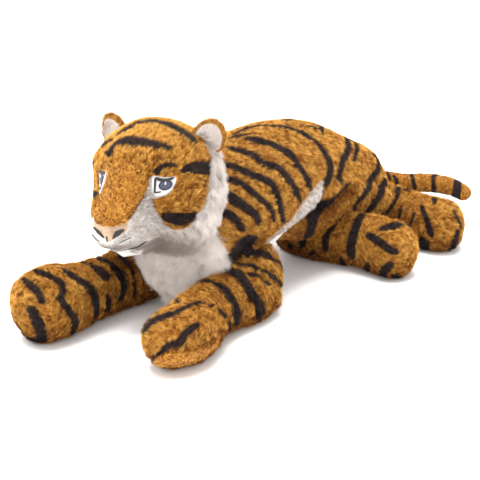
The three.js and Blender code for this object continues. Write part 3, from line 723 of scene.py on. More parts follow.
def skin_material():
    m, nt = new_material("plush_ground")
    col, white = coat(nt, False)
    b = node(nt, "ShaderNodeBsdfPrincipled", in_Roughness=0.95)
    b.inputs["Specular IOR Level"].default_value = 0.15
    b.inputs["Sheen Weight"].default_value = 0.25
    b.inputs["Sheen Roughness"].default_value = 0.5
    # the dim attribute is painted shade: it darkens the ground colour where the head sets it, on the muzzle and under
    # the chin
    dim = node(nt, "ShaderNodeAttribute", attribute_type="GEOMETRY", attribute_name="dim").outputs["Fac"]
    mul = node(nt, "ShaderNodeVectorMath", operation="SCALE")
    nt.links.new(col, mul.inputs[0])
    nt.links.new(maths(nt, "SUBTRACT", 1.0, dim), mul.inputs["Scale"])
    nt.links.new(mul.outputs[0], b.inputs["Base Color"])
    tex = node(nt, "ShaderNodeTexCoord").outputs["Object"]
    vor = node(nt, "ShaderNodeTexVoronoi", in_Scale=330.0)
    nt.links.new(tex, vor.inputs["Vector"])
    nz = node(nt, "ShaderNodeTexNoise", in_Scale=600.0, in_Detail=4.0)
    nt.links.new(tex, nz.inputs["Vector"])
    h = maths(nt, "ADD", maths(nt, "MULTIPLY", vor.outputs["Distance"], -0.8), maths(nt, "MULTIPLY", nz.outputs[0], 0.7))
    bump = node(nt, "ShaderNodeBump", in_Strength=0.8, in_Distance=0.0015)
    nt.links.new(h, bump.inputs["Height"])
    nt.links.new(bump.outputs[0], b.inputs["Normal"])
    out = node(nt, "ShaderNodeOutputMaterial")
    nt.links.new(b.outputs[0], out.inputs[0])
    return m


def hair_material():
    m, nt = new_material("plush_pile")
    col, white = coat(nt, True)
    info = node(nt, "ShaderNodeHairInfo")
    # painted shade and light along each strand: darker at the root, brighter at the tip; the white strands get a
    # narrower span
    shade = map_range(nt, info.outputs["Intercept"], 0.0, 1.0, 0.22, 1.36, smooth=False)
    pale = map_range(nt, info.outputs["Intercept"], 0.0, 1.0, 0.76, 1.05, smooth=False)
    is_white = map_range(nt, white, -0.8, 0.8, 1.0, 0.0)
    mixed = node(nt, "ShaderNodeMix", data_type="FLOAT")
    nt.links.new(is_white, mixed.inputs[0])
    nt.links.new(shade, mixed.inputs[2])
    nt.links.new(pale, mixed.inputs[3])
    shade = mixed.outputs[0]
    mul = node(nt, "ShaderNodeVectorMath", operation="SCALE")
    nt.links.new(col, mul.inputs[0])
    nt.links.new(shade, mul.inputs["Scale"])
    b = node(nt, "ShaderNodeBsdfPrincipled", in_Roughness=0.62)
    b.inputs["Specular IOR Level"].default_value = 0.22
    nt.links.new(mul.outputs[0], b.inputs["Base Color"])
    tr = node(nt, "ShaderNodeBsdfTranslucent")
    nt.links.new(mul.outputs[0], tr.inputs["Color"])
    mx = node(nt, "ShaderNodeMixShader", in_0=0.34)
    nt.links.new(b.outputs[0], mx.inputs[1])
    nt.links.new(tr.outputs[0], mx.inputs[2])
    out = node(nt, "ShaderNodeOutputMaterial")
    nt.links.new(mx.outputs[0], out.inputs[0])
    return m


def thread_material(name, colour, roughness=0.55, scale=2600.0, angle=0.6):
    m, nt = new_material(name)
    tex = node(nt, "ShaderNodeTexCoord").outputs["Object"]
    mp = node(nt, "ShaderNodeMapping")
    mp.inputs["Rotation"].default_value = (0.2, angle, 0.5)
    nt.links.new(tex, mp.inputs["Vector"])
    wave = node(nt, "ShaderNodeTexWave", in_Scale=scale / 6.0, in_Distortion=1.5, in_Detail=2.0)
    nt.links.new(mp.outputs[0], wave.inputs["Vector"])
    dark = tuple(c * 0.6 for c in colour)
    light = tuple(min(1, c * 1.25 + 0.01) for c in colour)
    col = ramp(nt, wave.outputs["Fac"], [(0.0, dark), (0.6, colour), (1.0, light)])
    b = node(nt, "ShaderNodeBsdfPrincipled", in_Roughness=roughness)
    nt.links.new(col, b.inputs["Base Color"])
    bump = node(nt, "ShaderNodeBump", in_Strength=0.5, in_Distance=0.0004)
    nt.links.new(wave.outputs["Fac"], bump.inputs["Height"])
    nt.links.new(bump.outputs[0], b.inputs["Normal"])
    out = node(nt, "ShaderNodeOutputMaterial")
    nt.links.new(b.outputs[0], out.inputs[0])
    return m


def fibre_material():
    m, nt = new_material("loose_fibre")
    tex = node(nt, "ShaderNodeTexCoord").outputs["Object"]
    nz = node(nt, "ShaderNodeTexNoise", in_Scale=90.0, in_Detail=8.0, in_Roughness=0.75)
    nt.links.new(tex, nz.inputs["Vector"])
    col = ramp(nt, nz.outputs[0], [(0.3, (0.66, 0.65, 0.63)), (0.7, (0.88, 0.87, 0.85))])
    b = node(nt, "ShaderNodeBsdfPrincipled", in_Roughness=1.0)
    nt.links.new(col, b.inputs["Base Color"])
    bump = node(nt, "ShaderNodeBump", in_Strength=0.7, in_Distance=0.003)
    nt.links.new(nz.outputs[0], bump.inputs["Height"])
    nt.links.new(bump.outputs[0], b.inputs["Normal"])
    out = node(nt, "ShaderNodeOutputMaterial")
    nt.links.new(b.outputs[0], out.inputs[0])
    return m


SKIN, PILE, FIBRE = skin_material(), hair_material(), fibre_material()
BLACK_THREAD = thread_material("dark_thread", (0.012, 0.010, 0.012), 0.6)
EYE_WHITE = thread_material("eye_white_thread", (0.58, 0.56, 0.56), 0.6)
IRIS_BLUE = thread_material("iris_thread", (0.042, 0.051, 0.09), 0.42)
IRIS_RIM = thread_material("iris_rim_thread", (0.022, 0.022, 0.034), 0.45)
GLINT = thread_material("glint_thread", (0.85, 0.86, 0.9), 0.4)


# ------------------------------------------------------------------ meshes and pile
def make_mesh(name, P, tris, material, attrs=None):
    me = bpy.data.meshes.new(name)
    P = row(P).astype(np.float32)
    me.vertices.add(len(P))
    me.vertices.foreach_set("co", P.ravel())
    me.loops.add(len(tris) * 3)
    me.loops.foreach_set("vertex_index", tris.astype(np.int32).ravel())
    me.polygons.add(len(tris))
    me.polygons.foreach_set("loop_start", np.arange(0, len(tris) * 3, 3, dtype=np.int32))
    me.update(calc_edges=True)
    me.validate()
    me.shade_smooth()
    for k, v in (attrs or {}).items():
        a = me.attributes.new(k, "FLOAT", "POINT")
        a.data.foreach_set("value", np.asarray(v, np.float32))
    me.materials.append(material)
    o = bpy.data.objects.new(name, me)
    bpy.context.scene.collection.objects.link(o)
    return o


HAIR_SHARE = 1.0


def pile(name, body, P, tris, N, comb, length, density, attrs, seed, clump=3.4, pull=0.6, lean=0.55, wild=0.5, stand=0.85, width=0.13, droop=0.25, floor=0.25, runs=None, base=None, dark=None, vary=None, loose=0.28):
    """Plush pile on a skin: strands gathered in tufts, combed along comb and pressed flat by the floor."""
    rng = np.random.default_rng(seed)
    v = P[tris]
    area = np.linalg.norm(np.cross(v[:, 1] - v[:, 0], v[:, 2] - v[:, 0]), axis=1) / 2
    dens = density[tris].mean(1)
    weight = area * dens * HAIR_SHARE
    n = int(weight.sum())
    if n < 10:
        return None
    cum = np.cumsum(weight)
    pick = np.searchsorted(cum, (np.arange(n) + rng.random(n)) / n * cum[-1])
    pick = np.minimum(pick, len(tris) - 1)
    r1, r2 = np.sqrt(rng.random(n)), rng.random(n)
    bary = np.stack([1 - r1, r1 * (1 - r2), r1 * r2], 1)
    take = lambda a: (a[tris[pick]] * (bary[..., None] if a.ndim == 2 else bary)).sum(1)
    root, nor, cmb, lng = take(P), take(N), take(comb), take(length)
    nor /= np.linalg.norm(nor, axis=1)[:, None]
    cmb -= nor * (cmb * nor).sum(1)[:, None]
    cmb /= np.maximum(np.linalg.norm(cmb, axis=1), 1e-6)[:, None]
    side = np.cross(nor, cmb)
    _, _, centre, own = cells(root, clump, salt=seed)
    own2 = _hash((own * 1e6).astype(np.int64), (own * 7e5).astype(np.int64), np.full(n, seed), 5)
    ang = (own - 0.5) * 2 * math.pi * 0.6
    tuft = cmb * np.cos(ang)[:, None] + side * np.sin(ang)[:, None]
    rnd = rng.normal(size=(n, 3)) * loose
    lean_v = cmb * lean + tuft * wild + rnd
    lean_v -= nor * (lean_v * nor).sum(1)[:, None]
    dirs = nor * (stand * (0.75 + 0.5 * own2))[:, None] + lean_v
    dirs /= np.linalg.norm(dirs, axis=1)[:, None]
    to = centre - root
    to -= nor * (to * nor).sum(1)[:, None]
    lng = lng * (0.75 + 0.35 * rng.random(n)) * (0.82 + 0.36 * own2)
    keys = 4
    t = np.linspace(0, 1, keys)[None, :, None]
    bend = lean_v * 0.35 - nor * droop
    pos = root[:, None] - nor[:, None] * 0.4 + (dirs[:, None] * t + bend[:, None] * t * t) * lng[:, None, None]
    pos += to[:, None] * pull * t**1.4
    curl = rng.normal(size=(n, keys, 3)) * 0.05 * lng[:, None, None] * t
    pos += curl
    pos[..., 2] = np.maximum(pos[..., 2], floor)
    hc = bpy.data.hair_curves.new(name)
    hc.add_curves([keys] * n)
    hc.attributes["position"].data.foreach_set("vector", row(pos.reshape(-1, 3)).astype(np.float32).ravel())
    rad = (width * np.array([1.0, 0.95, 0.7, 0.22]))[None, :] * (0.8 + 0.4 * rng.random(n))[:, None] / 1000.0
    a = hc.attributes.get("radius") or hc.attributes.new("radius", "FLOAT", "POINT")
    a.data.foreach_set("value", rad.astype(np.float32).ravel())
    # a strand is coloured for the place where it shows, which is beyond its root
    e1, e2 = P[tris[pick, 1]] - P[tris[pick, 0]], P[tris[pick, 2]] - P[tris[pick, 0]]
    move = (pos[:, 1] + pos[:, 2]) / 2 - root
    g11, g12, g22 = (e1 * e1).sum(1), (e1 * e2).sum(1), (e2 * e2).sum(1)
    m1, m2 = (move * e1).sum(1), (move * e2).sum(1)
    det = np.maximum(g11 * g22 - g12 * g12, 1e-9)
    b1, b2 = (g22 * m1 - g12 * m2) / det, (g11 * m2 - g12 * m1) / det
    for k, val in attrs.items():
        val = np.asarray(val, float)
        f = val[tris[pick]]
        v0 = (f * bary).sum(1)
        v = v0 + np.clip((f[:, 1] - f[:, 0]) * b1 + (f[:, 2] - f[:, 0]) * b2, -5, 5)
        if k == "stripe" and runs is not None:
            v = stripe_field(take(P if base is None else base) + (move - nor * (move * nor).sum(1)[:, None]) * 1.25, runs, 6.0)
        a = hc.attributes.new(k, "FLOAT", "CURVE")
        a.data.foreach_set("value", v.astype(np.float32))
    patchy = 0.5 + 0.5 * np.clip(fbm(root, 7.0, seed + 77, 2), -1, 1)
    # dark is painted shade where positive and painted light where negative; it is taken off each strand's tone
    shade = 0.0 if dark is None else take(dark)
    raw = own2 * 0.8 + rng.random(n) * 0.16 + patchy * 0.3 - 0.63
    if vary is not None:
        raw = raw * take(vary)
    for k, val in (("own", np.clip(0.5 + raw - shade, 0, 1)), ("lone", rng.random(n))):
        a = hc.attributes.new(k, "FLOAT", "CURVE")
        a.data.foreach_set("value", val.astype(np.float32))
    hc.materials.append(PILE)
    o = bpy.data.objects.new(name, hc)
    bpy.context.scene.collection.objects.link(o)
    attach(o, body)
    return o


def tufts(P, N, size, height, salt):
    """Low bumps of the matted pile in the ground fabric."""
    d, d2, _, own = cells(P, size, salt)
    return height * (0.4 + 0.6 * own) * np.clip(1 - (d / (size * 0.62)) ** 2, 0, 1)


# ------------------------------------------------------------------ body
count = 0


ORANGE_BELOW = [(256, 246), (268, 243.5), (285, 232.5), (300, 222), (316, 209), (320.5, 201), (323.5, 180), (345, 172), (420, 200), (420, 300), (256, 300)]
# fold lines: pressed into the skin; the hip fold and the armpit are also darkened with painted shade
WEDGE_LOW = [(271, 242), (285, 232.5), (300, 222), (318, 208), (321, 200)]
HIP_FOLD = [(319, 208), (326, 202.5), (334, 197), (346, 188)]
ARMPIT = [(238, 262), (243, 252), (248, 244), (257, 242)]

# pushes across the view, in its pixels, that bring the stuffing to the photographed outline: where, how far
NUDGE = {
    "front_leg_left": [((281, 250), (-5, 0)), ((268, 304), (6, 5)), ((250, 314), (4, 5)), ((146, 338), (-3, 1)), ((172, 366), (-1, -4)), ((232, 326), (0, 1))],
    "hind_leg_right": [((287, 247), (-10, -4)), ((398, 276), (1, 1))],
    "torso": [((284, 124), (0, -3)), ((262, 126), (0, -2)), ((308, 126), (0, -1.5)), ((280, 254), (-5, -8)), ((130, 262), (-6, 0)), ((154, 302), (5, -7))],
    "front_leg_right": [((60, 272), (0, -2)), ((20, 300), (-1, 0))],
}


def nudged(name, P):
    if name not in NUDGE:
        return P
    uv = seen_at(P)
    total, by = np.zeros(len(P)), np.zeros((len(P), 2))
    for c, m in NUDGE[name]:
        w = np.exp(-((uv - c) ** 2).sum(1) / (2 * 13.0**2))
        total += w
        by += w[:, None] * m
    by /= np.maximum(total, 1)[:, None]
    depth = -((P - EYE) @ BACK) / FOCAL
    P = P + (RIGHT * by[:, :1] - UP * by[:, 1:]) * depth[:, None]
    P[:, 2] = np.maximum(P[:, 2], 0)
    return P


BASE = {}
for _name, _sp in [("torso", TORSO)] + list(LIMBS.items()):
    if _name == "torso":
        BASE[_name] = tube_mesh(_sp, 2.1, 256, -INSET)
    elif _name == "tail":
        BASE[_name] = tube_mesh(_sp, 1.5, 76, -2.2)
    else:
        BASE[_name] = tube_mesh(_sp, 1.8, 144, -INSET)
BASE = {k: (nudged(k, v[0]), *v[1:]) for k, v in BASE.items()}
HEAD_Q, HEAD_TRIS = head_mesh(104)
HEAD_P = from_head(HEAD_Q)
HEAD_P = HEAD_P - normals(HEAD_P, HEAD_TRIS) * (1.6 * (1 - 1.6 * smooth(HEAD_Q[:, 2], 10, 50)))[:, None]
TREES = {k: tree_of(v[0], v[1]) for k, v in BASE.items()}
TREES["head"] = tree_of(HEAD_P, HEAD_TRIS)
RUNS = {k: [] for k in TREES}
for _name, _list in STRIPES.items():
    for _pts, *_w in _list:
        for _k, _runs in on_skin(TREES, _pts, _w, _name == "head").items():
            RUNS[_k] += _runs


def body_piece():
    P, tris, d, th = BASE["torso"]
    runs = RUNS["torso"] + other_side(TORSO, TREES["torso"], RUNS["torso"])
    stripe = stripe_field(P, runs)
    y = P[:, 1]
    deg = np.degrees(th)
    edge_l = np.interp(y, UNDERSIDE[:, 0], UNDERSIDE[:, 1])
    edge_r = np.interp(y, UNDERSIDE[:, 0], UNDERSIDE[:, 2])
    a = (deg + 270) % 360 - 270  # from -270 to 90
    rad = 85.0
    white = np.maximum((a - edge_l), (edge_r - a)) * math.pi / 180 * rad
    white = np.maximum(white, y - 310)
    white = np.minimum(white, y + 115)
    N = normals(P, tris)
    facing = smooth(N @ BACK, 0.0, 0.12)
    uv = seen_at(P)
    below = poly_distance(uv, ORANGE_BELOW) * 1.47
    white = np.where(N @ BACK > -0.3, np.maximum(white, -below), white)
    thigh = 6.5 * smooth(-below, 0, 12) * (1 - smooth(-below, 18, 50)) * facing
    fold_px = lambda line, wide: np.exp(-((poly_distance(uv, line, closed=False) / wide) ** 2)) * facing
    # dark is painted shade: in the hip fold and the armpit, on the undersides and on the torso below the belly wedge
    dark = 0.5 * fold_px(HIP_FOLD, 5.0) + 0.5 * fold_px(ARMPIT, 7.0) + 0.2 * smooth(-N[:, 2], -0.05, 0.6)
    dark = dark + 0.16 * smooth(-below, 0, 10) * (1 - smooth(uv[:, 0], 300, 345))
    folds = -6.0 * fold_px(WEDGE_LOW, 2.4) - 9.0 * fold_px(HIP_FOLD, 3.4) - 7.0 * fold_px(ARMPIT, 4.0)
    # drape of the cloth: long folds down the flank
    flow = np.stack([d * 0.035, np.cos(th) * 2.2, np.sin(th) * 2.2], 1)
    fold = fbm(flow + 3, 1.0, 11, 2)
    # painted shade in the creases of the drape
    dark = dark + 0.8 * np.clip(0.18 - np.abs(fold), 0, 1)
    fold = -np.clip(0.25 - np.abs(fold), 0, 1) * 8.0 + 0.9
    lump = fbm(P, 55, 21, 3) * 2.2
    disp = fold + lump + thigh
    seam = -2.2 * np.exp(-((white / 2.5) ** 2))
    top = ((deg - 90 + 180) % 360 - 180) * math.pi / 180 * rad
    back_seam = -1.1 * np.exp(-((top / 2.2) ** 2)) * (y > -120)
    disp += seam + back_seam + folds
    flat = np.clip(P[:, 2] / 6, 0, 1)
    Pd = P + N * (disp * flat)[:, None]
    Pd[:, 2] = np.maximum(Pd[:, 2], 0)
    N2 = normals(Pd, tris)
    Pd = Pd + N2 * ((tufts(Pd, N2, 4.2, 0.9, 31) + fbm(Pd, 9, 33, 2) * 0.5) * flat)[:, None]
    Pd[:, 2] = np.maximum(Pd[:, 2], 0)
    nose = np.full(len(P), 20.0)
    # inside the near front leg's sleeve the body takes the leg's colour
    shown = white.copy()
    for i in np.flatnonzero((white < 3) & (P[:, 0] > 10) & (np.abs(P[:, 1] + 5) < 70) & (P[:, 2] < 110)):
        q, n, _, _ = TREES["front_leg_left"].find_nearest(Vector(P[i]))
        if (Vector(P[i]) - q).dot(n) < 1.0:
            shown[i] = 3.0
    o = make_mesh("torso_plush", Pd, tris, SKIN, {"stripe": stripe, "white": shown, "nose": nose})
    c, t, lat, up, s = TORSO.at(d)
    comb = t * 0.8 + np.array([0, 0, -0.7]) + np.stack([noise(P, 40, 41), noise(P, 40, 42), noise(P, 40, 43)], 1) * 0.6
    bib = np.clip((-white) / 6, 0, 1) * np.clip((-60 - y) / 40, 0, 1)
    comb = comb * (1 - bib)[:, None] + (np.array([0, -0.35, -1.0]) + np.stack([noise(P, 30, 44), noise(P, 30, 45), noise(P, 30, 46)], 1) * 0.7) * bib[:, None]
    length = 6.2 + 8.0 * bib - 1.2 * np.clip(-white / 5, 0, 1) * (1 - bib)
    hidden = smooth(-(N @ BACK), 0.25, 0.5)
    density = 1.3 - 0.75 * hidden
    attrs = {"stripe": stripe, "white": shown, "nose": nose}
    # the pile takes the painted shade above; the white torso pile is also made darker by 0.3
    pile("torso_pile", "torso", Pd, tris, N2, comb, length, density * (1 - bib), attrs, 101, runs=runs, base=P, dark=dark + 0.3 * (white < 0))
    # painted light: a negative dark brightens the bib's pile, which sits in the head's shade
    pile("bib_pile", "torso", Pd, tris, N2, comb, length, density * bib * 1.15, attrs, 102, clump=6.5, pull=0.8, wild=0.75, stand=0.75, width=0.15, droop=0.35, runs=runs, base=P, dark=np.full(len(P), -0.15), vary=np.full(len(P), 0.8))
    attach(o, "torso")
    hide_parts("flank_panel_left", "flank_panel_right", "belly_panel", "rump_panel", "chest_bib")
    return o


SOLE = [(151, 360), (159, 353), (172, 349.5), (190, 349.5), (204, 346), (214, 340), (223, 330), (234, 342), (216, 364), (180, 376), (150, 370)]
ROLLS = {  # from, to along the sleeve, depth, spacing
    "front_leg_left": (45, 225, 5.6, 12.5), "front_leg_right": (30, 170, 3.6, 16.0), "hind_leg_right": (20, 130, 4.2, 15.0),
    "hind_leg_left": (60, 150, 2.6, 17.0), "tail": (20, 180, 0.7, 15.0)}


def limb_piece(name, seed):
    sp = LIMBS[name]
    tail = name == "tail"
    P, tris, d, th = BASE[name]
    runs = RUNS[name] + other_side(sp, TREES[name], RUNS[name])
    stripe = stripe_field(P, runs)
    N = normals(P, tris)
    amp = 0.35 if tail else 1.0
    # the pile stands in rings across the limb
    ring = np.stack([d * 0.085, np.cos(th) * 1.1, np.sin(th) * 1.1], 1)
    wr = fbm(ring + seed, 1.0, seed, 2)
    body = np.clip(d / 30, 0, 1) * np.clip((sp.length - d) / 55, 0.12, 1)
    disp = amp * body * (-np.clip(0.3 - np.abs(wr), 0, 1) * 12.0 + 1.6)
    disp += fbm(P, 34, seed + 3, 3) * 1.6 * amp
    # soft rolls across the sleeve, pinched where it bends
    lo_d, hi_d, deep, gap = ROLLS[name]
    ph = d / gap + 0.8 * noise(P, 42, seed + 21) + 0.3 * noise(P, 15, seed + 22)
    f = ph - np.floor(ph)
    roll = 1 - np.abs(2 * f - 1) ** 2.4
    mask = smooth(d, lo_d - 15, lo_d + 15) * (1 - smooth(d, hi_d - 20, hi_d + 20)) * smooth(noise(P, 50, seed + 23), -0.75, 0.1)
    disp += deep * (roll - 0.62) * mask
    # painted shade: dark in the creases of the rolls and on the undersides, on the near hind leg toward the belly and
    # on the far front leg toward its shoulder
    dark = 0.5 * (1 - roll) ** 2 * mask + 0.3 * smooth(-N[:, 2], -0.05, 0.6)
    if name == "hind_leg_right":
        dark = dark + 0.22 * (1 - smooth(seen_at(P)[:, 0], 300, 350))
    if name == "front_leg_right":
        dark = dark + 0.25 * smooth(seen_at(P)[:, 0], 95, 140)
    length = np.full(len(P), 3.4 if tail else 6.2)
    if name == "front_leg_left":
        uv, facing = seen_at(P), smooth(N @ BACK, 0.0, 0.12)
        groove = np.exp(-((poly_distance(uv, SOLE[:7], closed=False) / 2.0) ** 2)) * facing
        sole = smooth(-poly_distance(uv, SOLE), -0.5, 2.5) * facing
        disp = disp * (1 - 0.6 * sole) - 3.2 * groove
        # painted shade in the groove round the sole
        dark = dark * (1 - sole) + 0.65 * groove
        length = length - 3.0 * sole + 5.0 * np.exp(-((uv - (152, 325)) ** 2).sum(1) / 50) * facing
    flat = np.clip(P[:, 2] / 6, 0, 1)
    Pd = P + N * (disp * flat)[:, None]
    # on the side away from the photo the cover stays outside its stuffing
    if not tail:
        sunk = ((Pd - tube_mesh(sp, 1.8, 144, -INSET)[0]) * N).sum(1)
        Pd = Pd + N * (np.maximum(-2.8 - sunk, 0) * smooth(-(N @ BACK), -0.1, 0.15))[:, None]
    Pd[:, 2] = np.maximum(Pd[:, 2], 0)
    N2 = normals(Pd, tris)
    Pd = Pd + N2 * ((tufts(Pd, N2, 4.0, 0.5 if tail else 0.9, seed + 7) + fbm(Pd, 8, seed + 8, 2) * (0.2 if tail else 0.6)) * flat)[:, None]
    Pd[:, 2] = np.maximum(Pd[:, 2], 0)
    far = np.full(len(P), 20.0)
    attrs = {"stripe": stripe, "white": far, "nose": far}
    o = make_mesh(f"{name}_plush", Pd, tris, SKIN, attrs)
    c, t, lat, up, s = sp.at(d)
    comb = t + np.array([0, 0, -0.35]) + np.stack([noise(P, 26, seed + 11), noise(P, 26, seed + 12), noise(P, 26, seed + 13)], 1) * 0.8
    density = np.full(len(P), 1.5 if tail else 1.35) - 0.7 * smooth(-(N @ BACK), 0.25, 0.5)
    pile(f"{name}_pile", name, Pd, tris, N2, comb, length, density, attrs, seed, clump=2.6 if tail else 3.4, runs=runs, base=P, dark=dark)
    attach(o, name)
    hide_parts(f"{name}_cover")
    return o


# ------------------------------------------------------------------ head
CROWN = mirrored([
    [200, 200], [200, 33], [88, 33], [72, 31.5], [64, 30.5], [58, 31], [51.5, 31.4], [46, 33.6], [41, 35], [38.4, 32], [38, 22],
    [35.6, 11], [32.4, 2], [30, -5], [28, -12], [23, -17.5], [14, -20], [0, -22]])
NOSE = [[0, -22], [14, -20], [27, -16], [24, -27], [11, -34], [0, -42], [-11, -34], [-24, -27], [-27, -16], [-14, -20]]
CHEEK = [
    [-76, 5], [-75, -12], [-74, -28], [-70.5, -35.5], [-63.5, -37.5], [-56, -35], [-51, -30], [-42, -20], [-29.5, -12.5], [-17, 2],
    [-7.5, 21], [0, 38], [-32, 38], [-47, 38], [-50.5, 32], [-53.5, 22], [-58.5, 14], [-64, 9], [-69, 6.6]]
EYE_PATCH = [[41, 34], [46.5, 32.2], [51.5, 30.2], [58.4, 30], [64.8, 29.6], [64.6, 23.7], [61.3, 15], [56.4, 9.9], [49.9, 7.9], [43.6, 8.6], [41, 17], [40.6, 26]]


def far_eye(x, z):
    """The eye away from the camera sits nearer the nose and higher, as the photograph shows it."""
    return -(18.7 + 1.1 * (x - 41)), 1.08 * z + 5.2


# lines of the face's creases: furrowed into the skin and darkened with painted shade
CREASES = [[(148.6, 172), (149.4, 181), (148, 191), (144.5, 200), (139.5, 208)], [(184, 144), (172, 150), (160, 156.5), (151, 166)], [(153, 172.5), (160, 171.8), (168, 171), (176, 173)]]
MOUTH = [[10.8, -61.8], [19.7, -59.4], [29.6, -55], [38.5, -46.7]]
LIP = [[13.1, -43], [20.9, -38.4], [27.6, -35.2]]
PHILTRUM = [[-1.6, -33], [-2, -37], [-2.2, -42]]
NOSTRIL = [[6, -36], [10, -31.4], [15.8, -26.9], [21.5, -24.4]]


def head_regions(q):
    x, y, z = q[:, 0], q[:, 1], q[:, 2]
    crown = poly_distance(np.stack([x, z], 1), CROWN)
    line = np.interp(y, [-30, -4, 2, 7, 10, 32], [33, 34, 36, 45, 56, 62])
    crown = np.where(y < -26, crown, np.minimum(line - z, 30))
    back = np.maximum(32 - y, -30 - z)
    cheek = np.maximum(poly_distance(np.stack([y, z], 1), CHEEK), 40 - np.abs(x))
    white = -np.minimum(np.minimum(crown, back), cheek)
    nose = np.maximum(poly_distance(np.stack([x, z], 1), NOSE), y + 92)
    return white, nose


